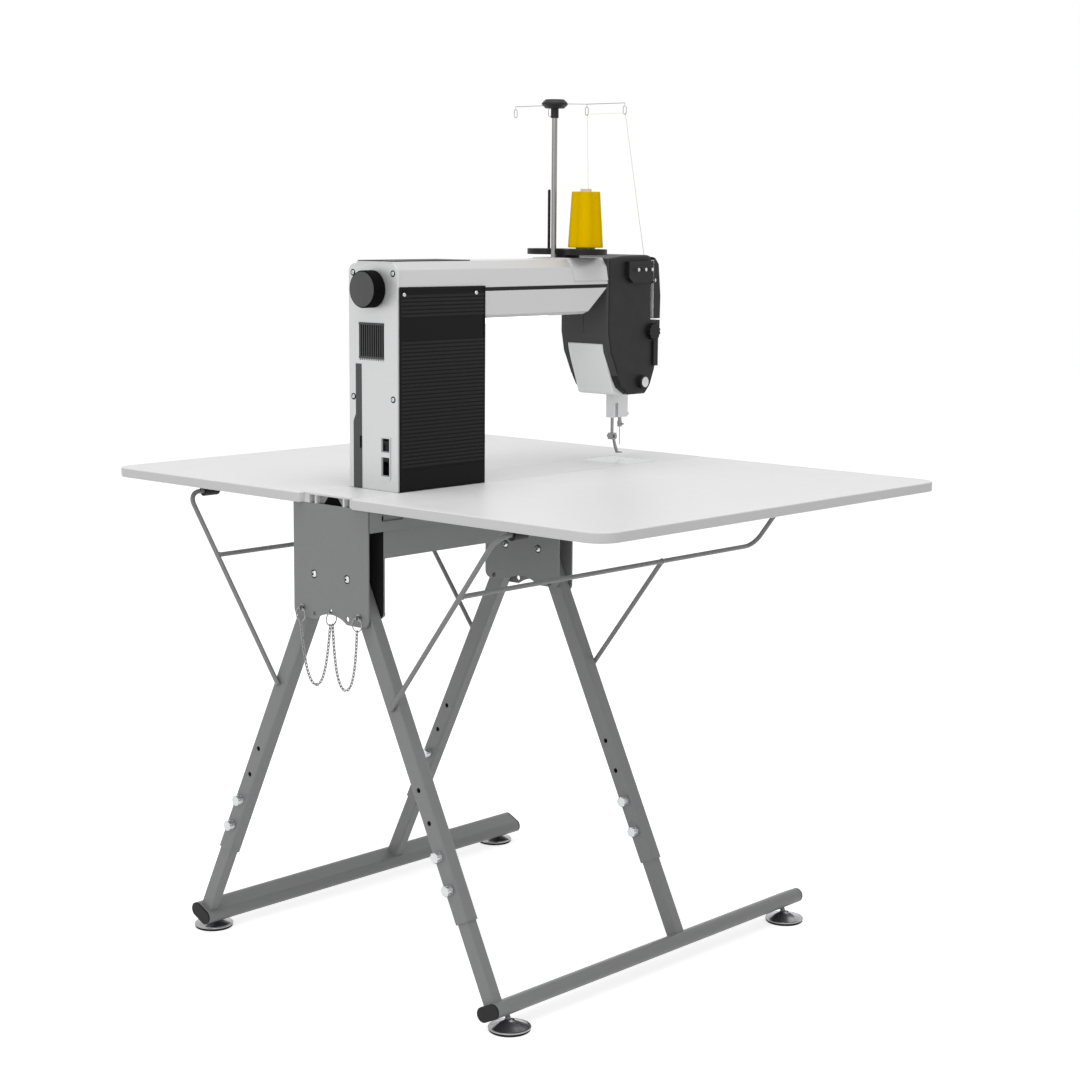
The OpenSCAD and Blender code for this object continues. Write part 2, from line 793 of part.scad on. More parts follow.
module arm_section(shares, grow = 0) {
    half = [for (s = shares) [
        s.x * arm_half + grow, throat_z + s.y * arm_h + (s.y == 1 ? grow : 0)
    ]];
    polygon(concat(half, [for (i = [len(half) - 1 : -1 : 0]) [-half[i].x, half[i].y]]));
}

module nose_cut() {
    across(2 * arm_w) polygon([
        [arm_end, arm_top + 2 * over], [arm_end, arm_cut_z],
        [arm_end + nose_lean, throat_z], [arm_end + nose_lean, throat_z - 9],
        [lobe_front, throat_z - 9], [lobe_front, arm_top + 2 * over]
    ]);
}

module arm_housing() {
    color("#d9dbdd") on_side() difference() {
        slab(panel_front, panel_front - arm_end) arm_section(arm_shares);
        slab(panel_front + over, panel_front - arm_end - 1.5 * nose_lean) arm_section(cavity_shares);
        nose_cut();
        // Room for the side covers
        for (side = [0, 1]) mirror([side, 0, 0])
            translate([core_w / 2, column_front - seat_gap, throat_z - over])
                cube([arm_w, column_d, cover_top - throat_z + over + cover_lap]);
    }
}

cap_len = 88;
cap_proud = 2;
cap_low = 0.61;

module arm_end_cap() {
    color("#c6c8ca") on_side() difference() {
        slab(arm_end + cap_len, cap_len) intersection() {
            arm_section(arm_shares, cap_proud);
            translate([-arm_w, throat_z + cap_low * arm_h]) square([2 * arm_w, arm_h]);
        }
        slab(arm_end + cap_len + over, cap_len + 2 * over) arm_section(arm_shares);
        nose_cut();
        translate([0, mast_y, throat_z]) cylinder(h = 2 * arm_h, d = mast_d + 2 * seat_gap);
    }
}

led_w = 24;
led_t = 9;

module led_strip() {
    back = column_front - 4;
    front = needle_y + 211;
    color("#fbfbf6") on_side() translate([-led_w / 2, front, throat_z - led_t])
        cube([led_w, back - front, led_t]);
}

// Machine: head

lobe_back = arm_end;
lobe_front = needle_y - 49;
lobe_low = table_h + 125;
rear_t = 4;
// Back edge of the head: distance in front of its back face, height over its foot
lobe_edge = [[0, 113], [3, 98], [7, 78], [16, 60], [25, 41]];
lobe_foot = [[30, 30], [40, 14], [56, 4], [68, 0]];
slot_y = needle_y - 22;
slot_gap_w = 10;
slit_z = throat_z - 16;

function from_back(points, inset = 0) = [
    for (p = points) [lobe_back - p.x - inset, lobe_low + p.y]
];

module lobe_outline(inset = 0) {
    ledge = lobe_edge[len(lobe_edge) - 1] + [2, -5];
    polygon(concat([[lobe_back - inset, arm_top + 1]], from_back(lobe_edge, inset),
        from_back([ledge], inset), from_back([ledge]), from_back(lobe_foot), [
        [lobe_front + 42, lobe_low], [lobe_front + 38, lobe_low + 3], [lobe_front + 27, lobe_low + 15],
        [lobe_front + 16, lobe_low + 41], [lobe_front + 8, lobe_low + 73], [lobe_front + 1, throat_z - 32],
        [lobe_front, throat_z + 28], [lobe_front + 6, arm_top - 10], [lobe_front + 16, arm_top + 1],
        [lobe_front + 40, arm_top + 6], [lobe_back - 45, arm_top + 5], [lobe_back - rear_t - 1, arm_top + 1]
    ]));
}

module bar_bores(top) {
    translate([0, needle_y, 0]) cylinder(h = top, d = needle_bar_d + 2 * run_gap);
    translate([0, foot_bar_y, 0]) cylinder(h = top, d = foot_bar_d + 2 * run_gap);
}

lever_z = throat_z + 36;
lever_x = -14;
lever_pin_d = 5;
slot_low = throat_z - 13;
slot_high = arm_top + 2;
lever_room = 26;
dial_z = throat_z - 36;
dial_y = slot_y;
dial_d = 30;
dial_t = 8;
stud_d = 6;
bar_room = 60;

module head_cover() {
    color("#26262a") on_side() difference() {
        across(head_w) lobe_outline(rear_t);
        across(nose_w) nose_outline();
        bar_bores(lobe_low + bar_room);
        // Take-up slot, its inner room, and the slit that parts the face cover
        translate([-head_half - over, slot_y - slot_gap_w / 2, slot_low])
            cube([head_half + over + lever_x + lever_room / 2, slot_gap_w, slot_high - slot_low]);
        translate([-head_half - over, lobe_front - over, slit_z])
            cube([lever_room, slot_y - lobe_front + over, slot_low - slit_z - run_gap]);
        translate([-head_half - over, slot_y - slot_gap_w / 2, slit_z])
            cube([lever_room, slot_gap_w, slot_low - slit_z + over]);
        translate([-head_half - over, dial_y, dial_z]) rotate([0, 90, 0])
            cylinder(h = 3 * stud_d + over, d = stud_d + 2 * run_gap);
    }
    color("#26262a") on_side() translate([lever_x, slot_y - slot_gap_w / 2 - over / 2, lever_z])
        rotate([-90, 0, 0]) cylinder(h = slot_gap_w + over, d = lever_pin_d);
}

nose_d = 62;
nose_edge = [[3.6, 93], [7, 78], [13, 60], [21.4, 38], [32.5, 7], [34.5, 2.5], [39, 0]];

module nose_outline() {
    polygon(from_back(concat(nose_edge, [[nose_d, 0], [nose_d, 93]])));
}

module head_rear_cover() {
    color("#2c2c30") on_side() difference() {
        across(head_w) difference() {
            lobe_outline();
            lobe_outline(rear_t);
            translate([lobe_front - over, arm_top + 1])
                square([lobe_back - lobe_front + 2 * over, arm_h]);
        }
        across(nose_w) nose_outline();
        // Seam between its two halves
        translate([-seam_w / 2, lobe_back - seam_w, lobe_low])
            cube([seam_w, seam_w + over, arm_cut_z - lobe_low]);
    }
}

seam_w = 1.2;

module needle_housing() {
    color("#d3d5d7") on_side() across(nose_w) nose_outline();
}

block_w = 18;
block_back = needle_y + 28;
block_d = 40;
block_h = 45;
tab_t = 1.8;

module needle_bar_block() {
    color("#c4c6c8") on_side() difference() {
        union() {
            translate([-block_w / 2, block_back - block_d, lobe_low - block_h])
                cube([block_w, block_d, block_h]);
            // Finger tab on the front face, turned out at its foot
            across(block_w * 0.7) polygon([
                [block_back - block_d + over, lobe_low - 3], [block_back - block_d - tab_t, lobe_low - 3],
                [block_back - block_d - tab_t, lobe_low - 34], [block_back - block_d - 8, lobe_low - 40],
                [block_back - block_d - 8, lobe_low - 42], [block_back - block_d + over, lobe_low - 37]
            ]);
        }
        bar_bores(lobe_low);
        // Window on the side, where the two bars show
        translate([-block_w / 2 - over, foot_bar_y - foot_bar_d, lobe_low - block_h - over])
            cube([block_w / 2 - needle_bar_d / 2, foot_bar_d + 2, block_h * 0.62]);
    }
}

clamp_d = 9;
clamp_h = 10;
bar_low = table_h + 62;
needle_d = 1.6;
needle_len = 31;

module needle_bar() {
    color("#c9cbcd") on_side() translate([0, needle_y, 0]) {
        translate([0, 0, bar_low]) cylinder(h = lobe_low + bar_room - stroke - bar_low, d = needle_bar_d);
        translate([0, 0, bar_low]) cylinder(h = clamp_h, d = clamp_d);
        translate([0, 0, bar_low + clamp_h / 2]) rotate([0, -90, 0])
            cylinder(h = clamp_d, d = clamp_h / 3);
        translate([0, 0, bar_low - needle_len]) cylinder(h = needle_len + over, d = needle_d);
        translate([0, 0, bar_low - needle_len - 3]) cylinder(h = 3, d1 = 0.4, d2 = needle_d);
    }
}

foot_lift = 13;
foot_ring_d = 11;
foot_hole_d = 6;
foot_ring_t = 1.6;
foot_clamp = 12;

module hopping_foot() {
    low = table_h + foot_lift + over;
    color("#c9cbcd") on_side() {
        translate([0, foot_bar_y, low + 26])
            cylinder(h = lobe_low + bar_room - low - 26 - over, d = foot_bar_d);
        translate([-foot_clamp / 2, foot_bar_y - foot_clamp / 2, low + 26])
            cube([foot_clamp, foot_clamp - over, foot_clamp]);
        for (x = [-1, 1]) translate([x * foot_clamp / 2 - (x < 0 ? foot_clamp / 3 : 0), foot_bar_y,
            low + 26 + foot_clamp / 2])
            rotate([0, 90, 0]) cylinder(h = foot_clamp / 3, d = foot_clamp / 2);
        // The shank bends forward to the ring round the needle
        translate([-2, 0, 0]) rotate([90, 0, 90]) linear_extrude(4) polygon([
            [foot_bar_y - 6, low + 26 + over], [foot_bar_y - 3, low + 26 + over],
            [foot_bar_y - 7, low + 12], [foot_bar_y - 13, low],
            [needle_y + foot_ring_d / 2 - 2, low], [foot_bar_y - 12, low + 12]
        ]);
        translate([0, needle_y, low]) difference() {
            cylinder(h = foot_ring_t, d = foot_ring_d);
            translate([0, 0, -over]) cylinder(h = foot_ring_t + 2 * over, d = foot_hole_d);
        }
    }
}

lever_len = 49;
lever_t = 3;
lever_w = 7;
lever_eye_d = 2.4;
lever_rest = 24;

module take_up_lever() {
    color("#cfd1d3") on_side() translate([lever_x, slot_y + lever_t / 2, lever_z])
        rotate([0, lever_rest, 0]) rotate([90, 0, 0]) linear_extrude(lever_t) difference() {
            union() {
                circle(d = lever_pin_d + 6);
                translate([-lever_len, -lever_w / 2]) square([lever_len, lever_w]);
                translate([-lever_len, 0]) circle(d = lever_w);
            }
            circle(d = lever_pin_d + 2 * run_gap);
            translate([-lever_len, 0]) circle(d = lever_eye_d);
        }
}

module tension_dial() {
    color("#1e1e20") on_side() translate([-head_half - seat_gap, dial_y, dial_z])
        rotate([0, -90, 0]) {
            difference() {
                cylinder(h = dial_t, d = dial_d);
                for (a = [0 : 30 : 330]) rotate([0, 0, a]) translate([dial_d / 2 + 1, 0, dial_t * 0.4])
                    cylinder(h = dial_t, d = 5);
            }
            translate([0, 0, -2.5 * stud_d]) cylinder(h = 2.5 * stud_d + over, d = stud_d);
        }
}

guide_l = 67;
guide_h = 38;
guide_low = arm_top - 43;
guide_t = 8;
guide_pin_d = 3;
spring_plate_h = 45;
spring_plate_w = 12;
button_d = 24;
button_t = 8;

module thread_guides() {
    color("#2c2c30") on_side() mirror([1, 0, 0]) {
        // Upper guide block with its three wire posts
        translate([head_half, slot_y + slot_gap_w / 2 + 2, guide_low]) rotate([90, 0, 90])
            linear_extrude(guide_t) polygon([
                [0, guide_h * 0.1], [guide_h * 0.1, 0], [guide_l - 12, 0], [guide_l, 10],
                [guide_l, guide_h], [0, guide_h]
            ]);
        for (s = [0.15, 0.42, 0.72]) translate([head_half + guide_t - over,
            slot_y + slot_gap_w / 2 + 2 + s * guide_l, guide_low + guide_h * 0.62])
            rotate([0, 90, 0]) cylinder(h = 6, d = guide_pin_d);
        // Check spring plate and the needle stop button
        translate([head_half, dial_y - spring_plate_w - 2, dial_z - dial_d / 2 - 2 - spring_plate_h])
            cube([4, spring_plate_w, spring_plate_h]);
        translate([head_half, needle_y + 4, lobe_low + 22]) rotate([0, 90, 0])
            cylinder(h = button_t, d = button_d);
    }
}

// Thread stand

tray_z = arm_top + 7;
tray_t = 10;
spool_y = needle_y + 149;
mast_y = needle_y + 184;
tray_foot_d = 44;
wire_eye_z = arm_top + mast_h;
hub_d = 45;
hub_h = 15;
hub_neck_d = 13.6;
hub_neck_h = 24;
guide_d = 1.2;
far_eye_x = 127;
eye_drop = 14;
eye_w = 7;
eye_stub = 5;

module spool_tray() {
    color("#1d1d1f") on_side() difference() {
        union() {
            for (x = [-1, 1]) translate([x * spool_half, spool_y, tray_z])
                cylinder(h = tray_t, d = lobe_d, $fn = 96);
            translate([-spool_half, spool_y - lobe_d / 2 + 2, tray_z])
                cube([2 * spool_half, lobe_d - 2 - 12, tray_t]);
            translate([0, spool_y, arm_top + cap_proud])
                cylinder(h = tray_z - arm_top - cap_proud + over, d = tray_foot_d);
        }
        for (x = [-1, 1]) translate([x * spool_half, spool_y, tray_z - over])
            cylinder(h = tray_t + 2 * over, d = spool_pin_d + 2 * run_gap);
        translate([0, mast_y, tray_z - over]) cylinder(h = tray_t + 2 * over, d = mast_d + 2 * seat_gap);
        translate([-mast_d / 2 - seat_gap, mast_y, tray_z - over])
            cube([mast_d + 2 * seat_gap, lobe_d, tray_t + 2 * over]);
    }
}

wire_start = [hub_d / 2 - 3, mast_y - hub_d / 6, wire_eye_z];
near_eye = [spool_half, spool_y, wire_eye_z];

module thread_mast() {
    color("#b4b6b8") difference() {
        on_side() translate([0, mast_y, arm_top]) {
            cylinder(h = mast_h - hub_neck_h, d = mast_d);
            translate([0, 0, mast_h - hub_neck_h]) cylinder(h = hub_neck_h, d = hub_neck_d);
            translate([0, 0, mast_h]) rotate_extrude() polygon([
                [0, -hub_h / 2], [hub_d * 0.36, -hub_h / 2], [hub_d / 2, -1.5], [hub_d / 2, 1.5],
                [hub_d * 0.36, hub_h / 2], [0, hub_h / 2]
            ]);
        }
        // The guide wires plug into the hub
        for (side = [-1, 1]) on_side(side)
            rod(wire_start - (near_eye - wire_start) / norm(near_eye - wire_start) * seat_gap, near_eye, guide_d / 2 + run_gap);
    }
}

// One eye: an oval loop of wire hanging under the guide wire
module wire_eye(x, y) {
    r = eye_w / 2;
    translate([x, y, wire_eye_z]) {
        translate([0, 0, -eye_stub]) cylinder(h = eye_stub, d = guide_d * 0.7);
        for (e = [0, 1]) translate([0, 0, -eye_stub - r - e * (eye_drop - eye_w)])
            rotate([90, e * 180, 0]) rotate_extrude(angle = 180)
                translate([r, 0]) circle(d = guide_d, $fn = 16);
        for (e = [-1, 1]) translate([e * r, 0, -eye_stub + r - eye_drop])
            cylinder(h = eye_drop - eye_w, d = guide_d, $fn = 16);
    }
}

module guide_wires() {
    far = [far_eye_x, spool_y - 2, wire_eye_z];
    color("#b9bbbd") for (side = [-1, 1]) on_side(side) {
        bent_wire([wire_start, near_eye, far], guide_d / 2);
        wire_eye(near_eye.x, near_eye.y);
        wire_eye(far.x, far.y);
    }
}

pin_base_d = 14;

module spool_pins() {
    color("#3a3a3c") for (x = [-1, 1]) on_side() translate([x * spool_half, spool_y, tray_z]) {
        cylinder(h = tray_t + spool_pin_h - spool_pin_d / 2, d = spool_pin_d);
        translate([0, 0, tray_t + spool_pin_h - spool_pin_d / 2]) sphere(spool_pin_d / 2);
    }
}

core_top_d = 19.5;
core_foot_d = 34;
core_foot_h = 4;
core_rise = 7;
cone_top_share = 0.81;

module thread_cone() {
    color("#f2b80c") on_side() translate([-spool_half, spool_y, tray_z + tray_t + run_gap])
        rotate_extrude($fn = 96) polygon([
            [spool_pin_d / 2 + run_gap, 0], [core_foot_d / 2, 0], [core_foot_d / 2, core_foot_h],
            [cone_d / 2 - 1, core_foot_h], [cone_d / 2, core_foot_h + 1],
            [cone_d * cone_top_share / 2, core_foot_h + cone_h - 1],
            [cone_d * cone_top_share / 2 - 1, core_foot_h + cone_h],
            [core_top_d / 2, core_foot_h + cone_h], [core_top_d / 2, core_foot_h + cone_h + core_rise],
            [spool_pin_d / 2 + run_gap, core_foot_h + cone_h + core_rise]
        ]);
}

// Upper thread, from the cone through two eyes to the head
thread_d = 0.8;
eye_pass = 1.5;

module thread() {
    r = thread_d / 2;
    eye_z = wire_eye_z - eye_stub - eye_drop + guide_d / 2 + r + over;
    cone_top = tray_z + tray_t + core_foot_h + cone_h + core_rise + seat_gap;
    color("#f7f3e4") on_side() bent_wire([
        [-spool_half - spool_pin_d, spool_y, cone_top + r],
        [-spool_half, spool_y - eye_pass, eye_z],
        [-spool_half, spool_y + eye_pass, eye_z],
        [-far_eye_x, spool_y - 2 + eye_pass, eye_z],
        [-far_eye_x, spool_y - 2 - eye_pass, eye_z],
        [-head_half / 2, slot_y - 8, arm_top + 4]
    ], r);
}

// Legs

module tube_outline(w, d, r, wall) {
    difference() {
        round_rect(w, d, r);
        round_rect(w - 2 * wall, d - 2 * wall, max(r - wall, wall / 2));
    }
}

leg_top = 20;
boss_d = 26;
bracket_top = 16;
bracket_h = 34;

// Outer tube with its pivot boss and the bracket that rides inside the outer plate
module outer_leg(i) {
    down_leg(leg_faces[i]) difference() {
        union() {
            translate([0, -tube_d / 2, -outer_len]) linear_extrude(outer_len + leg_top)
                tube_outline(tube_w, tube_d, tube_r, tube_wall);
            rotate([-90, 0, 0]) cylinder(h = bracket_gap - leg_gap, d = boss_d);
            translate([-tube_w / 2, 0, -bracket_top - bracket_h])
                cube([tube_w, bracket_gap - leg_gap, bracket_h]);
            translate([0, -tube_d + tube_wall, 0]) rotate([-90, 0, 0])
                cylinder(h = tube_d - 2 * tube_wall, d = boss_d);
        }
        translate([0, -tube_d - over, 0]) rotate([-90, 0, 0])
            cylinder(h = tube_d + bracket_gap + 2 * over, d = pivot_d + 2 * run_gap);
        for (n = [0 : hole_count - 1])
            translate([0, -tube_d - over, -hole_start - n * hole_pitch]) rotate([-90, 0, 0])
                cylinder(h = tube_d + 2 * over, d = hole_d);
    }
}

module left_leg_tubes() {
    color("#8c8e90") on_side() for (i = [0, 1]) outer_leg(i);
}

module right_leg_tubes() {
    color("#8c8e90") on_side(-1) for (i = [0, 1]) outer_leg(i);
}

bolt_head_d = 14;
bolt_head_t = 8.5;

// Clamping bolts: round heads on the near face, ending short of the inner tube
module clamp_bolts() {
    for (i = [0, 1], n = [hole_count - bolt_count : hole_count - 1])
        down_leg(leg_faces[i]) translate([0, 0, -hole_start - n * hole_pitch]) {
            rotate([-90, 0, 0]) difference() {
                cylinder(h = bolt_head_t, d = bolt_head_d);
                for (a = [0 : 45 : 315]) rotate([0, 0, a]) translate([bolt_head_d / 2 + 0.6, 0, 2])
                    cylinder(h = bolt_head_t, d = 3);
            }
            translate([0, -tube_wall, 0]) rotate([-90, 0, 0])
                cylinder(h = tube_wall + over, d = hole_d - 2 * run_gap);
        }
}

module left_clamp_bolts() {
    color("#d0d2d4") on_side() clamp_bolts();
}

module right_clamp_bolts() {
    color("#d0d2d4") on_side(-1) clamp_bolts();
}

// Lower frame: two inner tubes on one flat oval bar

bar_wall = 2;
bar_back = bar_mid + bar_len / 2;

module oval(w, t) {
    square([w - t, t], center = true);
    for (x = [-1, 1]) translate([x * (w - t) / 2, 0]) circle(d = t);
}

module lower_frame() {
    down_leg(0) {
        for (i = [0, 1]) difference() {
            translate([0, leg_faces[i] - tube_d / 2, -bar_reach + bar_t / 2 - over])
                linear_extrude(bar_reach - bar_t / 2 - inner_top + over)
                    tube_outline(inner_w, inner_d, inner_r, tube_wall);
            for (n = [0 : hole_count - 1])
                translate([0, leg_faces[i] - tube_d, -hole_start - n * hole_pitch])
                    rotate([-90, 0, 0]) cylinder(h = tube_d, d = hole_d);
        }
        difference() {
            translate([0, bar_back, -bar_reach]) rotate([90, 0, 0]) linear_extrude(bar_len)
                difference() {
                    oval(bar_w, bar_t);
                    oval(bar_w - 2 * bar_wall, bar_t - 2 * bar_wall);
                }
            for (e = [-1, 1])
                translate([0, bar_mid + e * (bar_len / 2 - foot_inset), -bar_reach - bar_t])
                    cylinder(h = bar_t, d = stem_d + 2 * run_gap);
        }
    }
}

module left_lower_frame() {
    color("#8c8e90") on_side() lower_frame();
}

module right_lower_frame() {
    color("#8c8e90") on_side(-1) lower_frame();
}

cap_t = 3;
cap_plug = 14;

module bar_caps() {
    down_leg(0) for (e = [0, 1]) translate([0, bar_back - e * bar_len, -bar_reach])
        rotate([90, 0, e == 0 ? 180 : 0]) {
            linear_extrude(cap_t) oval(bar_w, bar_t);
            translate([0, 0, -cap_plug]) linear_extrude(cap_plug + over) difference() {
                oval(bar_w - 2 * bar_wall - run_gap, bar_t - 2 * bar_wall - run_gap);
                oval(bar_w - 4 * bar_wall, bar_t - 4 * bar_wall);
            }
        }
}

module left_bar_caps() {
    color("#161618") on_side() bar_caps();
}

module right_bar_caps() {
    color("#161618") on_side(-1) bar_caps();
}

// Levelling foot: a disc that stands flat, a ball, and a stem in line with the leg

pad_t = 4;
dome_h = 12;
ball_r = 7;
stem_in = 16;

module levelling_foot(e) {
    y = bar_mid + e * (bar_len / 2 - foot_inset);
    ball_x = pivot_half + ball_reach * sin(lean);
    translate([ball_x, y, 0]) {
        rotate_extrude() polygon([
            [0, 0], [foot_d / 2 - 1, 0], [foot_d / 2, 1], [foot_d / 2, pad_t],
            [foot_d / 2 - 4, pad_t + 1], [foot_d / 4, pad_t + dome_h * 0.45],
            [ball_r + 1, pad_t + dome_h * 0.75], [ball_r, pad_t + dome_h], [0, pad_t + dome_h]
        ]);
        translate([0, 0, ball_z]) sphere(ball_r);
    }
    translate([ball_x, y, ball_z]) rotate([0, -lean, 0]) cylinder(h = stem_in + 3, d = stem_d);
}

module left_back_foot() {
    color("#b8babc") on_side() levelling_foot(1);
}

module left_front_foot() {
    color("#b8babc") on_side() levelling_foot(-1);
}

module right_back_foot() {
    color("#b8babc") on_side(-1) levelling_foot(1);
}

module right_front_foot() {
    color("#b8babc") on_side(-1) levelling_foot(-1);
}

// Leaves

module leaf_outline(reach) {
    inner = slot_half + board_gap;
    d = table_d;
    r = corner_r;
    s = slot_corner_r;
    translate([inner + s, -d / 2]) square([reach - inner - s - r, d]);
    translate([inner, -d / 2 + s]) square([s + over, d - 2 * s]);
    translate([reach - r - over, -d / 2 + r]) square([r + over, d - 2 * r]);
    for (e = [-1, 1]) {
        translate([reach - r, e * (d / 2 - r)]) circle(r, $fn = 128);
        translate([inner + s, e * (d / 2 - s)]) circle(s);
    }
}

module left_leaf() {
    color("#e6e6e6") on_side() translate([0, 0, under_z]) linear_extrude(table_t)
        leaf_outline(left_reach);
}

module right_leaf() {
    color("#e6e6e6") on_side(-1) translate([0, 0, under_z]) linear_extrude(table_t)
        leaf_outline(right_reach);
}

clip_half = wire_r + clip_wall;

// Moving hinge leaves with their knuckles, and the clips for the support wire
module leaf_fittings() {
    for (y = hinge_ys) difference() {
        union() {
            translate([hinge_x, y + knuckle_len + seat_gap, hinge_z]) rotate([-90, 0, 0])
                cylinder(h = hinge_len - 2 * knuckle_len - 2 * seat_gap, r = hinge_r);
            translate([hinge_x, y + knuckle_len + seat_gap, under_z - hinge_plate_t])
                cube([hinge_plate_w, hinge_len - 2 * knuckle_len - 2 * seat_gap, hinge_plate_t]);
            translate([hinge_x + hinge_r + 1, y, under_z - hinge_plate_t])
                cube([hinge_plate_w - hinge_r, hinge_len, hinge_plate_t]);
        }
        translate([hinge_x, y, hinge_z]) rotate([-90, 0, 0])
            cylinder(h = hinge_len, d = hinge_pin_d + 2 * run_gap);
    }
    for (y = [back_clip_y, front_clip_y]) slab(y + clip_len, clip_len) difference() {
        union() {
            translate([wire_x, wire_z]) circle(clip_half);
            translate([wire_x - clip_half, wire_z]) square([2 * clip_half, wire_drop]);
        }
        translate([wire_x, wire_z]) circle(wire_r + run_gap);
    }
}

module left_leaf_fittings() {
    color("#2a2a2c") on_side() leaf_fittings();
}

module right_leaf_fittings() {
    color("#2a2a2c") on_side(-1) leaf_fittings();
}

// Wire supports: one frame a side, pivoting in the clips and hooked to the legs

module wire_support() {
    bent_wire([
        [hook_x, back_wire_y, hook_z], [wire_x, back_wire_y, wire_z],
        [wire_x, back_clip_y - clip_len / 2, wire_z]
    ], wire_r);
    bent_wire([
        [cross_x, -cross_front, cross_z], [wire_x, -cross_front, wire_z],
        [wire_x, front_clip_y + clip_len * 1.5, wire_z]
    ], wire_r);
    rod([cross_x, back_wire_y, cross_z], [cross_x, -cross_front, cross_z], cross_r);
    translate([cross_x, -cross_front, cross_z]) sphere(wire_r + run_gap);
    rod([hook_x, front_wire_y, hook_z], [cross_x, front_wire_y, cross_z], wire_r);
}

module left_wire_support() {
    color("#9a9c9e") on_side() wire_support();
}

module right_wire_support() {
    color("#9a9c9e") on_side(-1) wire_support();
}

// Lock pins: a shank to the leg face, a collar, and an eye tab for the key ring

collar_d = 12;
collar_t = 1.6;
tab_eye_t = 2.4;
tab_eye_w = 7;

module lock_pin() {
    face = leg_faces[0] + seat_gap;
    translate([lock_x, 0, lock_z]) {
        translate([0, face, 0]) rotate([-90, 0, 0]) cylinder(h = stand_back - face + over, d = lock_d);
        translate([0, stand_back, 0]) rotate([-90, 0, 0]) cylinder(h = collar_t, d = collar_d);
        difference() {
            union() {
                translate([-tab_eye_t / 2, stand_back, -tab_eye_w / 2])
                    cube([tab_eye_t, pin_ring_y - stand_back, tab_eye_w]);
                translate([-tab_eye_t / 2, pin_ring_y, 0]) rotate([0, 90, 0])
                    cylinder(h = tab_eye_t, d = tab_eye_w);
            }
            translate([-tab_eye_t / 2 - over, pin_ring_y, 0]) rotate([0, 90, 0])
                cylinder(h = tab_eye_t + 2 * over, d = ring_wire + 2 * seat_gap);
        }
        translate([0, pin_ring_y, -ring_r]) key_ring();
    }
}

module left_lock_pin() {
    color("#c4c6c8") on_side() lock_pin();
}

module right_lock_pin() {
    color("#c4c6c8") on_side(-1) lock_pin();
}

back_outer_plate();
back_inner_plate();
front_inner_plate();
front_outer_plate();
beam_channel();
hinge_rails();
pivot_bolts();
back_insert();
front_insert();
left_chain();
right_chain();
bed_casting();
needle_plate();
bobbin_hook();
column_core();
back_panel();
side_covers();
panel_screws();
arm_housing();
arm_end_cap();
led_strip();
head_cover();
head_rear_cover();
needle_housing();
needle_bar_block();
power_inlet();
spool_tray();
thread_mast();
guide_wires();
spool_pins();
thread_guides();
thread();
left_leg_tubes();
right_leg_tubes();
left_clamp_bolts();
right_clamp_bolts();
left_lower_frame();
right_lower_frame();
left_bar_caps();
right_bar_caps();
left_back_foot();
left_front_foot();
right_back_foot();
right_front_foot();
left_leaf();
right_leaf();
left_leaf_fittings();
right_leaf_fittings();
left_wire_support();
right_wire_support();
left_lock_pin();
right_lock_pin();
handwheel();
needle_bar();
hopping_foot();
take_up_lever();
tension_dial();
rocker_switch();
thread_cone();
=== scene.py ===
"""Dresses the folding sewing table and its long-arm machine for a studio picture.

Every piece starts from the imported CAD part, whose frame is metres with the floor at z = 0,
the machine's column at +Y and the left leaf at +X.
"""

import json
import math

import bmesh
import bpy
from bpy.props import FloatProperty, FloatVectorProperty, IntProperty, PointerProperty
from bpy.types import Operator, Panel, PropertyGroup
from mathutils import Matrix, Vector

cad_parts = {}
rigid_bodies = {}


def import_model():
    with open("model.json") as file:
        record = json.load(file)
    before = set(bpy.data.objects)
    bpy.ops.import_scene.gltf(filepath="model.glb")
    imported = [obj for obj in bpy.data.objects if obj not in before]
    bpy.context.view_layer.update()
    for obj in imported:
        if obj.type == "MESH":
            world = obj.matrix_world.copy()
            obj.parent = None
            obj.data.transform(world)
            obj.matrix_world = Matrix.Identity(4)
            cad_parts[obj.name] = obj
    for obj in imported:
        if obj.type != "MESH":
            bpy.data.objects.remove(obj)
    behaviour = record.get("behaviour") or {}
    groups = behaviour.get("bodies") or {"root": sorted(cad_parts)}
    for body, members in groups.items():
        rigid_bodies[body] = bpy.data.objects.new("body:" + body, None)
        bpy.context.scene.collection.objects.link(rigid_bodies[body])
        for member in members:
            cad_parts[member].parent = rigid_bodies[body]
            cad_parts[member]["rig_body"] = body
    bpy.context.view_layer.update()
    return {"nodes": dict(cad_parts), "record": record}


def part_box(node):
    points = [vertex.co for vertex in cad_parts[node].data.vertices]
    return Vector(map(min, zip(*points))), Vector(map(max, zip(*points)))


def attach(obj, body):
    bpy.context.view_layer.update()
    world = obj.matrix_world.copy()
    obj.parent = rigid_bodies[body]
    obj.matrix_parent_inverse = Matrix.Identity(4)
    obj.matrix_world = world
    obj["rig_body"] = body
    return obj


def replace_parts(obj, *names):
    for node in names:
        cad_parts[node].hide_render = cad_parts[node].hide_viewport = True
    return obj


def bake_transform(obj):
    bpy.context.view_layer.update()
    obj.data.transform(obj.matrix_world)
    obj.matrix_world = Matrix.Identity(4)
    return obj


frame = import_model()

bl_info = {
    "name": "Folding Sewing Table",
    "version": (1, 0, 0),
    "blender": (4, 5, 0),
    "location": "View3D > Sidebar > Sewing Table",
    "description": "Builds the finished look of a folding sewing table and its machine",
    "category": "Object",
}

# Read from the frame: the box, each node's body, the machine's middle plane and back
BODY_OF = {node: piece["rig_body"] for node, piece in frame["nodes"].items()}
MACHINE_X = sum(corner.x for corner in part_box("head_cover")) / 2
MACHINE_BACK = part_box("back_panel")[1].y

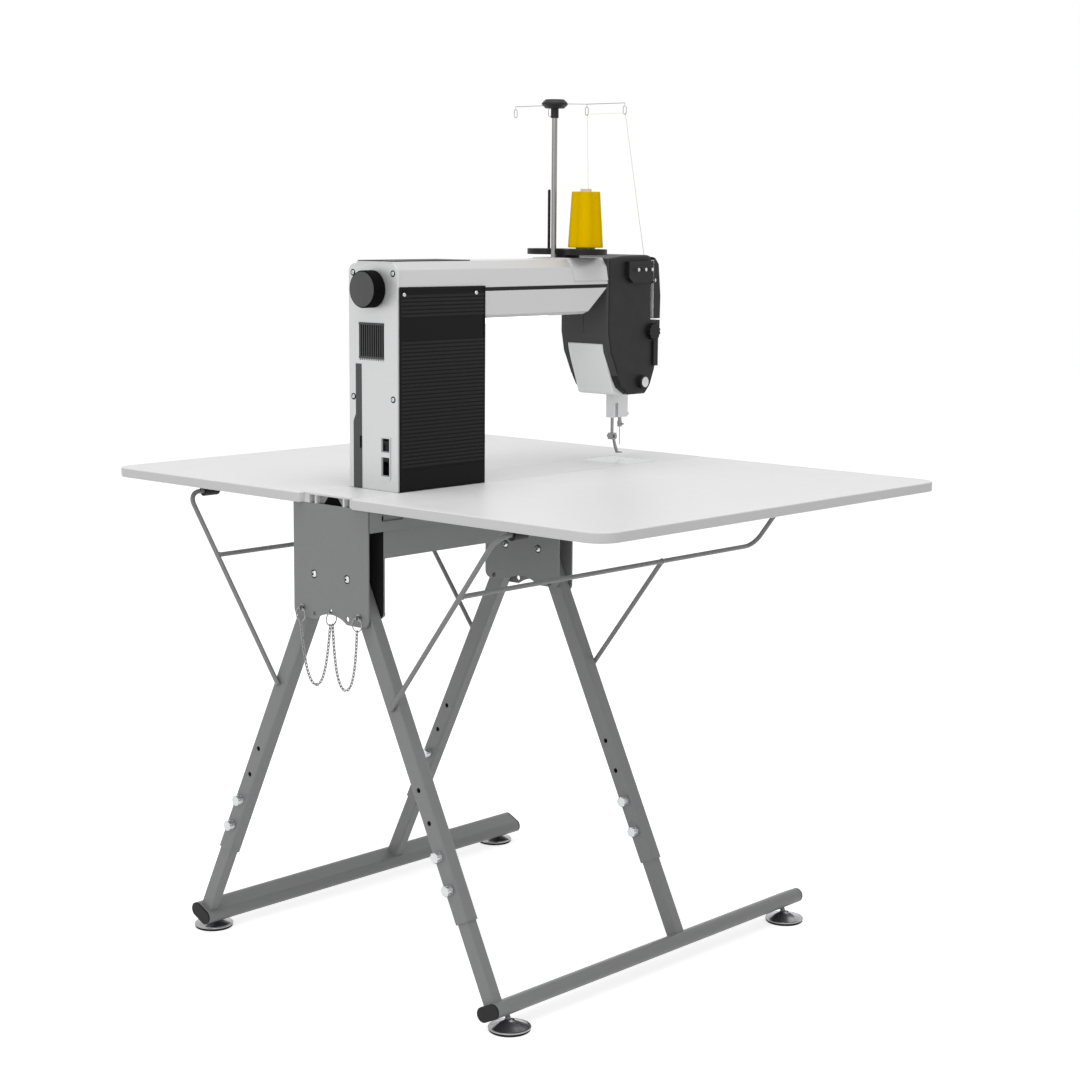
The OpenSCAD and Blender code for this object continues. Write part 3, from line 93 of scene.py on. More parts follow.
# The left leg's hinge, whose range is the lean of the open legs
LEG_FOLD = next(joint for joint in frame["record"]["behaviour"]["joints"]
                if joint["name"] == "left_leg_fold")
LEG_LEAN = math.radians(LEG_FOLD["range_deg"][1])

# Directions, and how squarely a face looks along one
SIDES = {"left": 1, "right": -1}
REARWARD = (0, 1, 0)
FACING = 0.9

# Roundings of the edges, in metres
PRESSED_EDGE = 0.0003
TUBE_EDGE = 0.0004
MACHINED_EDGE = 0.0005
TURNED_EDGE = 0.0006
PANEL_EDGE = 0.0007
CAST_EDGE = 0.0008
TRAY_EDGE = 0.0009
INSERT_EDGE = 0.001
MOULDED_EDGE = 0.0012
SHROUD_EDGE = 0.003
HEAD_EDGE = 0.0034

# Distances within which corners merge, and the angles of a flat joint and of a smooth edge
CAD_WELD = 0.000003
WELD = 0.000002
FLAT_ANGLE = math.radians(0.6)
SMOOTH_ANGLE = math.radians(35)


def spot(x, y, z):
    """A point in metres whose x counts from the machine's middle plane."""
    return Vector((MACHINE_X + x, y, z))


# Sizes and colours


class SewingTableSizes(PropertyGroup):
    """Sizes that shape the finished pieces."""

    board_edge: FloatProperty(
        name="Board edge", description="Rounding of the boards' edges",
        default=0.0022, min=0.0005, max=0.005, unit="LENGTH",
    )
    sheet_edge: FloatProperty(
        name="Sheet edge", description="Rounding of the steel plates' edges",
        default=0.0006, min=0.0001, max=0.0014, unit="LENGTH",
    )
    cover_edge: FloatProperty(
        name="Head edge", description="Rounding round the sewing head's cover",
        default=0.0055, min=0.001, max=0.012, unit="LENGTH",
    )
    arm_edge: FloatProperty(
        name="Arm edge", description="Rounding along the arm",
        default=0.004, min=0.001, max=0.008, unit="LENGTH",
    )
    wire_bend: FloatProperty(
        name="Wire bend", description="Bend radius of the support wires",
        default=0.024, min=0.01, max=0.04, unit="LENGTH",
    )
    thread_pitch: FloatProperty(
        name="Thread pitch", description="Distance between two turns on the cone",
        default=0.0016, min=0.0005, max=0.004, unit="LENGTH",
    )
    lamp_count: IntProperty(
        name="Lamps", description="Number of lenses in the lamp under the arm",
        default=22, min=6, max=40,
    )


class SewingTableColours(PropertyGroup):
    """Colours of the finishes."""

    coat: FloatVectorProperty(
        name="Powder coat", description="Grey coat of the stand",
        default=(0.235, 0.237, 0.24), size=3, min=0, max=1, subtype="COLOR",
    )
    board: FloatVectorProperty(
        name="Board", description="White face of the boards",
        default=(0.8, 0.8, 0.8), size=3, min=0, max=1, subtype="COLOR",
    )
    lacquer: FloatVectorProperty(
        name="Lacquer", description="Silver lacquer of the arm",
        default=(0.69, 0.69, 0.69), size=3, min=0, max=1, subtype="COLOR",
    )
    panel: FloatVectorProperty(
        name="Panel", description="Brushed panel on the column's back",
        default=(0.71, 0.713, 0.718), size=3, min=0, max=1, subtype="COLOR",
    )
    charcoal: FloatVectorProperty(
        name="Charcoal", description="Dark covers of the head",
        default=(0.012, 0.012, 0.0125), size=3, min=0, max=1, subtype="COLOR",
    )
    cover: FloatVectorProperty(
        name="Side cover", description="Black ribbed covers of the column",
        default=(0.012, 0.012, 0.0125), size=3, min=0, max=1, subtype="COLOR",
    )
    thread: FloatVectorProperty(
        name="Thread", description="Yellow thread on the cone",
        default=(0.9, 0.56, 0.0), size=3, min=0, max=1, subtype="COLOR",
    )


def sizes():
    return bpy.context.scene.sewing_table_sizes


def colours():
    return bpy.context.scene.sewing_table_colours


# Finishes


def blank_finish(name, colour, roughness, metallic=0.0, specular=0.5):
    """A new material with its plain values set on the shader's own sockets."""
    material = bpy.data.materials.new(name)
    material.use_nodes = True
    shader = material.node_tree.nodes["Principled BSDF"]
    shader.inputs["Base Color"].default_value = (*colour, 1)
    shader.inputs["Roughness"].default_value = roughness
    shader.inputs["Metallic"].default_value = metallic
    shader.inputs["Specular IOR Level"].default_value = specular
    return material, material.node_tree, shader


def grain(tree, scale, detail=3.0, stretch=(1, 1, 1)):
    """Noise on the piece's own coordinates; a stretch draws it out into brush lines."""
    place = tree.nodes.new("ShaderNodeTexCoord")
    turn = tree.nodes.new("ShaderNodeMapping")
    turn.inputs["Scale"].default_value = stretch
    noise = tree.nodes.new("ShaderNodeTexNoise")
    noise.inputs["Scale"].default_value = scale
    noise.inputs["Detail"].default_value = detail
    tree.links.new(place.outputs["Object"], turn.inputs["Vector"])
    tree.links.new(turn.outputs["Vector"], noise.inputs["Vector"])
    return noise.outputs["Fac"]


def tint(tree, shader, height, colour, spread):
    """Lets the colour wander a little either side of its plain value."""
    ramp = tree.nodes.new("ShaderNodeValToRGB")
    ramp.color_ramp.elements[0].position = 0.3
    ramp.color_ramp.elements[1].position = 0.7
    ramp.color_ramp.elements[0].color = (*[c * (1 - spread) for c in colour], 1)
    ramp.color_ramp.elements[1].color = (*[min(c * (1 + spread), 0.95) for c in colour], 1)
    tree.links.new(height, ramp.inputs["Fac"])
    tree.links.new(ramp.outputs["Color"], shader.inputs["Base Color"])


def shine(tree, shader, height, low, high):
    """Varies the roughness between two values."""
    span = tree.nodes.new("ShaderNodeMapRange")
    span.inputs["From Min"].default_value = 0.3
    span.inputs["From Max"].default_value = 0.7
    span.inputs["To Min"].default_value = low
    span.inputs["To Max"].default_value = high
    tree.links.new(height, span.inputs["Value"])
    tree.links.new(span.outputs["Result"], shader.inputs["Roughness"])


def relief(tree, shader, height, depth, strength=0.4):
    """Raises a fine relief from a height."""
    bump = tree.nodes.new("ShaderNodeBump")
    bump.inputs["Strength"].default_value = strength
    bump.inputs["Distance"].default_value = depth
    tree.links.new(height, bump.inputs["Height"])
    tree.links.new(bump.outputs["Normal"], shader.inputs["Normal"])


def maths(tree, operation, *values):
    """The result of a maths node that is fed by sockets or plain numbers."""
    node = tree.nodes.new("ShaderNodeMath")
    node.operation = operation
    for socket, value in zip(node.inputs, values):
        if isinstance(value, bpy.types.NodeSocket):
            tree.links.new(value, socket)
        else:
            socket.default_value = value
    return node.outputs[0]


def surfaced(name, colour, roughness, mottle, gloss=None, grit=None, metallic=0.0, specular=0.5):
    """A finish whose colour, roughness and relief each follow a grain of their own.

    mottle is (spread, *grain), gloss is (low, high, *grain), grit is (depth, strength, *grain).
    """
    material, tree, shader = blank_finish(name, colour, roughness, metallic, specular)
    tint(tree, shader, grain(tree, *mottle[1:]), colour, mottle[0])
    if gloss:
        shine(tree, shader, grain(tree, *gloss[2:]), *gloss[:2])
    if grit:
        relief(tree, shader, grain(tree, *grit[2:]), *grit[:2])
    return material


def powder_coat(name):
    return surfaced(name, colours().coat, 0.38, (0.07, 900), (0.34, 0.44, 60),
                    (0.00006, 0.4, 1400, 2))


def white_board(name):
    return surfaced(name, colours().board, 0.42, (0.012, 420), (0.38, 0.48, 35),
                    (0.00008, 0.5, 800, 4), specular=0.3)


def edge_band(name):
    shaded = [c * 0.88 for c in colours().board]
    return surfaced(name, shaded, 0.38, (0.015, 300, 2, (1, 1, 4)),
                    grit=(0.00003, 0.3, 600, 2), specular=0.3)


def insert_plastic(name):
    shaded = [c * 0.95 for c in colours().board]
    return surfaced(name, shaded, 0.4, (0.012, 500), grit=(0.00004, 0.4, 1100, 2), specular=0.3)


def silver_lacquer(name):
    return surfaced(name, colours().lacquer, 0.36, (0.03, 1500, 2), (0.32, 0.4, 50),
                    (0.00002, 0.3, 900, 2), metallic=0.25, specular=0.4)


def brushed_panel(name):
    lines = (120, 3, (1, 14, 30))
    return surfaced(name, colours().panel, 0.4, (0.035, *lines), (0.34, 0.46, *lines),
                    (0.00002, 0.3, *lines), metallic=0.55, specular=0.4)


def light_plastic(name):
    return surfaced(name, (0.9, 0.905, 0.91), 0.42, (0.015, 700),
                    grit=(0.00004, 0.4, 1300, 2), specular=0.35)


def charcoal_plastic(name):
    return surfaced(name, colours().charcoal, 0.5, (0.08, 800), (0.45, 0.55, 45),
                    (0.0001, 0.4, 1200, 3), specular=0.3)


def charcoal_back(name):
    return surfaced(name, (0.057, 0.057, 0.058), 0.5, (0.08, 800),
                    grit=(0.0001, 0.4, 1200, 3), specular=0.3)


def wheel_face(name):
    return surfaced(name, (0.075, 0.075, 0.076), 0.42, (0.06, 700), (0.38, 0.46, 40),
                    specular=0.4)


# Grey painted shade for recessed white plastic and for the inlet's inner walls
def recess_grey(name):
    return surfaced(name, (0.34, 0.34, 0.35), 0.5, (0.02, 500), specular=0.2)


# Darker than the ribs' black: the rims' and bands' own black, and painted shade in the grooves
# between the ribs
def rib_ground(name):
    return surfaced(name, (0.0045, 0.0045, 0.0048), 0.5, (0.1, 700), specular=0.12)


def plate_shadow(name):
    return surfaced(name, (0.02, 0.02, 0.021), 0.5, (0.07, 900), specular=0.2)


# Near-black: the own black of the washers, and painted shade in holes, sockets, air slots, the
# cable passage and on the handwheel's side
def port_black(name):
    return surfaced(name, (0.004, 0.004, 0.004), 0.8, (0.1, 600), specular=0.05)


def strip_grey(name):
    return surfaced(name, (0.085, 0.085, 0.087), 0.5, (0.06, 500), specular=0.25)


def dark_chrome(name):
    return surfaced(name, (0.3, 0.3, 0.3), 0.22, (0.06, 200), (0.18, 0.28, 160), metallic=1.0)


def ribbed_black(name):
    return surfaced(name, colours().cover, 0.45, (0.1, 700), (0.4, 0.5, 40),
                    (0.00005, 0.35, 1200, 2), specular=0.18)


def black_plastic(name):
    return surfaced(name, (0.008, 0.008, 0.0085), 0.48, (0.1, 900),
                    grit=(0.00006, 0.4, 1300, 2), specular=0.25)


def seam_shadow(name):
    return surfaced(name, (0.035, 0.035, 0.036), 0.7, (0.1, 600), specular=0.1)


def sole_rubber(name):
    return surfaced(name, (0.012, 0.012, 0.012), 0.78, (0.2, 500),
                    grit=(0.0001, 0.5, 900), specular=0.25)


def bright_zinc(name):
    return surfaced(name, (0.56, 0.575, 0.58), 0.3, (0.06, 260), (0.22, 0.38, 180),
                    (0.00002, 0.3, 900, 2), metallic=1.0)


def foot_chrome(name):
    return surfaced(name, (0.36, 0.36, 0.37), 0.2, (0.05, 160), (0.14, 0.26, 90),
                    (0.00002, 0.25, 700, 2), metallic=1.0)


def polished_steel(name):
    lines = (200, 3, (1, 6, 1))
    return surfaced(name, (0.58, 0.58, 0.58), 0.24, (0.04, *lines), (0.18, 0.3, *lines),
                    metallic=1.0)


def mast_steel(name):
    lines = (300, 3, (1, 1, 0.04))
    return surfaced(name, (0.27, 0.265, 0.26), 0.25, (0.05, *lines), (0.2, 0.32, *lines),
                    (0.00002, 0.2, *lines), metallic=1.0)


def cast_alloy(name):
    return surfaced(name, (0.42, 0.43, 0.44), 0.55, (0.06, 400),
                    grit=(0.0001, 0.5, 700, 4), metallic=0.6)


def lamp_glow(name):
    material = surfaced(name, (0.9, 0.9, 0.88), 0.3, (0.03, 300))
    shader = material.node_tree.nodes["Principled BSDF"]
    shader.inputs["Emission Color"].default_value = (1, 1, 0.98, 1)
    shader.inputs["Emission Strength"].default_value = 1.6
    return material


def pale_thread(name):
    return surfaced(name, (0.93, 0.89, 0.7), 0.8, (0.04, 2500, 2, (1, 1, 3)), specular=0.2)


def cone_core(name):
    material = surfaced(name, (0.7, 0.71, 0.72), 0.4, (0.02, 500), specular=0.35)
    shader = material.node_tree.nodes["Principled BSDF"]
    shader.inputs["Subsurface Weight"].default_value = 0.1
    shader.inputs["Subsurface Scale"].default_value = 0.01
    return material


def wound_thread(name):
    """Thread laid in two crossing spirals, read from the cone's own angle and height."""
    colour = colours().thread
    material, tree, shader = blank_finish(name, colour, 0.6, specular=0.0)
    shader.inputs["Sheen Weight"].default_value = 0.5
    shader.inputs["Sheen Tint"].default_value = (1, 0.72, 0, 1)
    nodes, links = tree.nodes, tree.links
    middle = sum(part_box("thread_cone"), Vector()) / 2
    place = nodes.new("ShaderNodeTexCoord")
    centred = nodes.new("ShaderNodeMapping")
    centred.inputs["Location"].default_value = (-middle.x, -middle.y, 0)
    axes = nodes.new("ShaderNodeSeparateXYZ")
    links.new(place.outputs["Object"], centred.inputs["Vector"])
    links.new(centred.outputs["Vector"], axes.inputs["Vector"])
    angle = maths(tree, "ARCTAN2", axes.outputs["Y"], axes.outputs["X"])
    rise = maths(tree, "MULTIPLY", axes.outputs["Z"], 2 * math.pi / sizes().thread_pitch)
    waves = [maths(tree, "SINE", maths(tree, "MULTIPLY_ADD", angle, turns, rise))
             for turns in (3, -4)]
    height = nodes.new("ShaderNodeMapRange")
    height.inputs["From Min"].default_value = -1
    height.inputs["From Max"].default_value = 1
    links.new(maths(tree, "MAXIMUM", *waves), height.inputs["Value"])
    # The low places between the turns take a deeper, darker yellow: painted shade in the grooves
    ramp = nodes.new("ShaderNodeValToRGB")
    ramp.color_ramp.elements[0].color = (colour[0] * 0.66, colour[1] * 0.6, colour[2], 1)
    ramp.color_ramp.elements[1].color = (*colour, 1)
    ramp.color_ramp.elements[1].position = 0.75
    links.new(height.outputs["Result"], ramp.inputs["Fac"])
    links.new(ramp.outputs["Color"], shader.inputs["Base Color"])
    relief(tree, shader, height.outputs["Result"], 0.0003, 0.6)
    return material


def finish(maker):
    """The finish that a maker makes, made the first time that it is asked for."""
    label = "look_" + maker.__name__
    return bpy.data.materials.get(label) or maker(label)


# Shaping


def merged_copy(node):
    """A CAD node's shape, with its loose triangles merged into whole faces."""
    shape = bmesh.new()
    shape.from_mesh(frame["nodes"][node].data)
    bmesh.ops.remove_doubles(shape, verts=shape.verts, dist=CAD_WELD)
    bmesh.ops.dissolve_limit(shape, angle_limit=FLAT_ANGLE, use_dissolve_boundaries=False,
                             verts=shape.verts, edges=shape.edges)
    return shape


def round_edges(shape, width, pick=None, steps=2, sharp=28, clamp=True):
    """Rounds the sharp edges that pick accepts."""
    edges = [
        edge for edge in shape.edges
        if edge.is_manifold and edge.calc_face_angle(0) > math.radians(sharp)
        and (pick is None or pick(edge))
    ]
    if not edges:
        raise RuntimeError("no edge was found to round")
    bmesh.ops.bevel(
        shape, geom=edges, offset=width, offset_type="OFFSET", segments=steps, profile=0.5,
        affect="EDGES", clamp_overlap=clamp, material=-1, loop_slide=True,
    )


def islands(shape):
    """The loose pieces of a shape, each as a list of its corners."""
    groups, seen = [], set()
    for start in shape.verts:
        if start in seen:
            continue
        seen.add(start)
        group = [start]
        for vert in group:
            for edge in vert.link_edges:
                other = edge.other_vert(vert)
                if other not in seen:
                    seen.add(other)
                    group.append(other)
        groups.append(group)
    return groups


def stretched(corners, centre, factors):
    """Scales some corners about a point, by a factor along each axis."""
    for corner in corners:
        corner.co = Vector([c + (p - c) * f for p, c, f in zip(corner.co, centre, factors)])


def box_of(corners):
    """The box round some corners, as its middle, lowest and highest point."""
    low = Vector([min(v.co[axis] for v in corners) for axis in range(3)])
    high = Vector([max(v.co[axis] for v in corners) for axis in range(3)])
    return (low + high) / 2, low, high


def block(low, high):
    """A box between two corners, in metres."""
    shape = bmesh.new()
    bmesh.ops.create_cube(shape, size=1)
    low, high = Vector(low), Vector(high)
    bmesh.ops.scale(shape, vec=high - low, verts=shape.verts)
    bmesh.ops.translate(shape, vec=(low + high) / 2, verts=shape.verts)
    return shape


def clipped(outline, way, limit):
    """The part of a convex outline where its reach along a way is at least a limit."""
    kept = []
    for a, b in zip(outline, outline[1:] + outline[:1]):
        da, db = (p[0] * way[0] + p[1] * way[1] - limit for p in (a, b))
        if da >= 0:
            kept.append(a)
        if da * db < 0:
            share = da / (da - db)
            kept.append((a[0] + (b[0] - a[0]) * share, a[1] + (b[1] - a[1]) * share))
    return kept


def on_rim(point, outline):
    """Whether a point lies on a closed outline."""
    near = 0.00002
    for a, b in zip(outline, outline[1:] + outline[:1]):
        a, b, p = Vector(a), Vector(b), Vector(point)
        along = b - a
        share = min(max((p - a).dot(along) / along.length_squared, 0), 1)
        if (a + along * share - p).length < near:
            return True
    return False


def drawn_in(outline, depths):
    """A convex outline whose sides are each moved inwards by their own depth."""
    count, straight = len(outline), 0.001
    middle = sum((Vector(p) for p in outline), Vector((0, 0))) / count
    lines = []
    for k in range(count):
        a, b = Vector(outline[k]), Vector(outline[(k + 1) % count])
        way = (b - a).normalized()
        inward = Vector((-way.y, way.x))
        if inward.dot(middle - a) < 0:
            inward = -inward
        lines.append((a + inward * depths[k], way))
    moved = []
    for k in range(count):
        (p, u), (q, v) = lines[k - 1], lines[k]
        turn = u.x * v.y - u.y * v.x
        if abs(turn) < straight:
            moved.append(q)
            continue
        gap = q - p
        moved.append(p + u * ((gap.x * v.y - gap.y * v.x) / turn))
    return moved


def cheek(piece, outline, inner, outer, radius, steps=5):
    """A convex slab between two planes, rounded outside where it lies on the outline."""
    middles = [((a[0] + b[0]) / 2, (a[1] + b[1]) / 2)
               for a, b in zip(piece, piece[1:] + piece[:1])]
    rims = [int(on_rim(m, outline)) for m in middles]
    side = 1 if outer > 0 else -1
    layers = [(inner, 0)]
    for step in range(steps + 1):
        angle = math.radians(90 * step / steps)
        layers.append((outer - side * radius * (1 - math.sin(angle)),
                       radius * (1 - math.cos(angle))))
    shape, rings = bmesh.new(), []
    for x, depth in layers:
        ring = drawn_in(piece, [depth * rim for rim in rims])
        rings.append([shape.verts.new(spot(x, *p)) for p in ring])
    for low, high in zip(rings, rings[1:]):
        for k in range(len(low)):
            n = (k + 1) % len(low)
            shape.faces.new((low[k], low[n], high[n], high[k]))
    shape.faces.new(rings[0])
    shape.faces.new(rings[-1])
    bmesh.ops.recalc_face_normals(shape, faces=shape.faces)
    return shape


def turned(profile, centre, axis=(0, 0, 1), steps=48):
    """A turned shape from (radius, height) pairs in metres, standing on a point."""
    shape = bmesh.new()
    corners = [shape.verts.new((radius, 0, height)) for radius, height in profile]
    lines = [shape.edges.new(pair) for pair in zip(corners, corners[1:])]
    bmesh.ops.spin(
        shape, geom=corners + lines, cent=(0, 0, 0), axis=(0, 0, 1), angle=2 * math.pi,
        steps=steps, use_merge=True,
    )
    bmesh.ops.remove_doubles(shape, verts=shape.verts, dist=WELD)
    bmesh.ops.recalc_face_normals(shape, faces=shape.faces)
    aim = Vector((0, 0, 1)).rotation_difference(Vector(axis)).to_matrix().to_4x4()
    bmesh.ops.transform(shape, matrix=Matrix.Translation(centre) @ aim, verts=shape.verts)
    return shape


def pushed(corners, way):
    """A flat ring of corners, pushed out along a way to a closed shape."""
    shape = bmesh.new()
    face = shape.faces.new([shape.verts.new(corner) for corner in corners])
    grown = bmesh.ops.extrude_face_region(shape, geom=[face])["geom"]
    moved = [part for part in grown if isinstance(part, bmesh.types.BMVert)]
    bmesh.ops.translate(shape, vec=way, verts=moved)
    bmesh.ops.recalc_face_normals(shape, faces=shape.faces)
    return shape


def joined(*shapes):
    """Several shapes as one."""
    whole = bmesh.new()
    for shape in shapes:
        part = bpy.data.meshes.new("part")
        shape.to_mesh(part)
        whole.from_mesh(part)
        shape.free()
        bpy.data.meshes.remove(part)
    return whole


def eased(points, bend):
    """A path whose corners are arcs of a bend radius."""
    path, steps, most = [points[0]], 8, 0.45
    for before, corner, after in zip(points, points[1:], points[2:]):
        back, on = (before - corner).normalized(), (after - corner).normalized()
        half = back.angle(on) / 2
        reach = min(bend / math.tan(half), (before - corner).length * most,
                    (after - corner).length * most)
        radius = reach * math.tan(half)
        middle = corner + (back + on).normalized() * (radius / math.sin(half))
        first, last = corner + back * reach - middle, corner + on * reach - middle
        sweep = first.angle(last)
        for step in range(steps + 1):
            share = step / steps
            path.append(middle + (
                first * math.sin((1 - share) * sweep) + last * math.sin(share * sweep)
            ) / math.sin(sweep))
    return path + [points[-1]]


def bent_tube(points, radius, bend):
    """A round wire along a path with bent corners."""
    line = bpy.data.curves.new("bend", "CURVE")
    line.dimensions = "3D"
    line.bevel_depth = radius
    line.bevel_resolution = 4
    line.use_fill_caps = True
    path = eased(points, bend) if len(points) > 2 else points
    spline = line.splines.new("POLY")
    spline.points.add(len(path) - 1)
    for point, place in zip(spline.points, path):
        point.co = (*place, 1)
    holder = bpy.data.objects.new("bend", line)
    mesh = bpy.data.meshes.new_from_object(holder)
    shape = bmesh.new()
    shape.from_mesh(mesh)
    bmesh.ops.remove_doubles(shape, verts=shape.verts, dist=WELD)
    bmesh.ops.recalc_face_normals(shape, faces=shape.faces)
    bpy.data.objects.remove(holder)
    bpy.data.meshes.remove(mesh)
    bpy.data.curves.remove(line)
    return shape


def washer(radius, thick, chamfer, centre, axis, steps=32):
    """A flat disc whose rim is chamfered by an (inwards, down) pair."""
    inwards, down = chamfer
    return turned([(0, 0), (radius, 0), (radius, thick - down), (radius - inwards, thick),
                   (0, thick)], centre, axis, steps)


def second_finish(shape, chosen):
    """Gives the chosen faces the second of the piece's finishes."""
    for face in shape.faces:
        face.material_index = int(chosen(face))


def placed(name, shape, *makers):
    """An object in the scene that has a finished shape and its finishes."""
    mesh = bpy.data.meshes.new(name)
    shape.to_mesh(mesh)
    shape.free()
    for maker in makers:
        mesh.materials.append(finish(maker))
    mesh.shade_smooth()
    piece = bpy.data.objects.new(name, mesh)
    bpy.context.scene.collection.objects.link(piece)
    return piece


def add_to(node, name, shape, *makers):
    """Adds a piece that rides on the body of a CAD node."""
    piece = placed(name, shape, *makers)
    piece.data.set_sharp_from_angle(angle=SMOOTH_ANGLE)
    weight = piece.modifiers.new("face_weight", "WEIGHTED_NORMAL")
    weight.keep_sharp = True
    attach(piece, BODY_OF[node])
    return piece


def stand_in(node, name, shape, *makers):
    """Puts a piece in the place of a CAD node."""
    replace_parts(add_to(node, name, shape, *makers), node)


def dress(node, name, maker, width, **how):
    """Replaces a CAD node by its own shape with rounded edges."""
    shape = merged_copy(node)
    round_edges(shape, width, **how)
    stand_in(node, name, shape, maker)


def coat(maker, *nodes):
    """Gives CAD nodes whose shape is right their finish."""
    for node in nodes:
        mesh = frame["nodes"][node].data
        mesh.materials.clear()
        mesh.materials.append(finish(maker))
        mesh.shade_smooth()
        mesh.set_sharp_from_angle(angle=SMOOTH_ANGLE)


# Pieces


class SewingTableEndPlates(Operator):
    """Build the four end plates, the beam and the leaf rails"""

    bl_idname = "sewing_table.end_plates"
    bl_label = "End plates and beam"

    def execute(self, context):
        edge = sizes().sheet_edge
        for node in ("back_outer_plate", "front_inner_plate", "front_outer_plate",
                     "beam_channel"):
            dress(node, node.replace("_", "_sheet_", 1), powder_coat, edge)
        shape = merged_copy("back_inner_plate")
        round_edges(shape, edge)
        second_finish(shape, lambda face: face.normal.y > FACING)
        stand_in("back_inner_plate", "back_sheet_inner_plate", shape, powder_coat, plate_shadow)
        dress("hinge_rails", "leaf_rails", powder_coat, edge)
        self.pivot_bolts()
        return {"FINISHED"}

    def pivot_bolts(self):
        """The pivot bolts' heads, each over a dark washer and with a black disc painted as the
        shade in its socket.
        """
        head, head_shares, under = 0.0045, (0.72, 0.8, 0.72), 0.0003
        socket, socket_height, socket_depth = 0.0026, 0.0034, 0.0001
        rim, rim_thick, rim_chamfer = 0.0072, 0.0005, (0.0003, 0.0002)
        shape, rims = merged_copy("pivot_bolts"), []
        for bolt in islands(shape):
            seat, _, high = box_of(bolt)
            seat.y = high.y - head
            stretched([v for v in bolt if v.co.y > seat.y - under], seat, head_shares)
            rims.append(washer(rim, rim_thick, rim_chamfer, seat, REARWARD))
            rims.append(turned([(0, 0), (socket, 0), (0, socket_depth)],
                               seat + Vector((0, socket_height, 0)), REARWARD, 6))
        round_edges(shape, PRESSED_EDGE)
        stand_in("pivot_bolts", "pivot_bolt_set", shape, bright_zinc)
        add_to("pivot_bolts", "bolt_washers", joined(*rims), port_black)


class SewingTableBoards(Operator):
    """Build the two leaves and the two inserts of the slot"""

    bl_idname = "sewing_table.boards"
    bl_label = "Leaves and inserts"

    def execute(self, context):
        steep = 0.35
        for side in SIDES:
            node = side + "_leaf"
            shape = merged_copy(node)
            round_edges(shape, sizes().board_edge, steps=3)
            second_finish(shape, lambda face: abs(face.normal.z) < steep)
            stand_in(node, side + "_board", shape, white_board, edge_band)
        self.back_insert()
        dress("front_insert", "front_insert_board", insert_plastic, MOULDED_EDGE)
        return {"FINISHED"}

    def back_insert(self):
        """The board behind the column, set back, with its hollow edge in painted shade and a black
        trapezoid painted as the shade of its cable passage.
        """
        set_back, top_skin, hollow, near = 0.012, 0.0035, 0.008, 0.0002
        passage, post, side_hollow = 0.031, 0.004, 0.0125
        mouth_foot, mouth_head, mouth_gap, mouth_depth = 0.021, 0.0105, 0.0005, 0.0003
        low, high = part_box("back_insert")
        back, skin = high.y - set_back, high.z - top_skin
        half, inner, outer = (high.x - low.x) / 2, passage + post, passage + post + side_hollow
        comb = [(-half, low.y), (half, low.y), (half, back)]
        for start, end in ((outer, inner), (passage, -passage), (-inner, -outer)):
            comb += [(start, back), (start, back - hollow), (end, back - hollow), (end, back)]
        comb.append((-half, back))
        body = pushed([spot(x, y, low.z) for x, y in comb], (0, 0, skin - low.z))
        cover = block((low.x, low.y, skin), (high.x, back, high.z))
        round_edges(cover, INSERT_EDGE)

        # The hollow's back faces take the grey as painted shade on the white plastic
        def sunk(face):
            centre = face.calc_center_median()
            return abs(centre.y - back + hollow) < near and centre.z < skin

        whole = joined(body, cover)
        second_finish(whole, sunk)
        stand_in("back_insert", "back_insert_board", whole, insert_plastic, recess_grey)
        # The cable passage is a thin black trapezoid on the hollow's wall: painted shade where the
        # hole is
        mouth = [(mouth_foot, low.z), (-mouth_foot, low.z), (-mouth_head, skin - mouth_gap),
                 (mouth_head, skin - mouth_gap)]
        opening = pushed([spot(x, back - hollow, z) for x, z in mouth], (0, mouth_depth, 0))
        add_to("back_insert", "cable_passage_shade", opening, port_black)


class SewingTableLeafFittings(Operator):
    """Build the moving hinge leaves and the clips of the wire supports"""

    bl_idname = "sewing_table.leaf_fittings"
    bl_label = "Leaf fittings"

    def execute(self, context):
        hinge_reach = 0.2
        for side in SIDES:
            node = side + "_leaf_fittings"
            shape = merged_copy(node)
            round_edges(shape, TURNED_EDGE)
            second_finish(shape, lambda face: (
                abs(face.calc_center_median().x - MACHINE_X) < hinge_reach))
            stand_in(node, side + "_hinges_and_clips", shape, black_plastic, powder_coat)
        return {"FINISHED"}


class SewingTableWireSupports(Operator):
    """Bend the two wire supports that carry the leaves"""

    bl_idname = "sewing_table.wire_supports"
    bl_label = "Wire supports"

    def execute(self, context):
        radius, bend = 0.004, sizes().wire_bend
        hook, cross, top = (0.13475, 0.4769), (0.2873, 0.6775), (0.363, 0.777)
        back, back_clip, back_bead = 0.4258, 0.3488, 0.4213
        front, front_clip, front_bend = -0.0568, -0.236, -0.313
        bead = [(0, -0.0052), (0.0036, -0.0038), (0.0052, 0), (0.0036, 0.0038), (0, 0.0052)]
        for side, sign in SIDES.items():
            def at(place, y, sign=sign):
                return spot(sign * place[0], y, place[1])

            wires = (
                [at(hook, back), at(top, back), at(top, back_clip)],
                [at(cross, back), at(cross, front_bend), at(top, front_bend),
                 at(top, front_clip)],
                [at(hook, front), at(cross, front)],
            )
            parts = [bent_tube(points, radius, bend) for points in wires]
            parts += [turned(bead, at(cross, y), REARWARD, 16) for y in (back_bead, front)]
            stand_in(side + "_wire_support", side + "_bent_wire", joined(*parts), powder_coat)
        return {"FINISHED"}


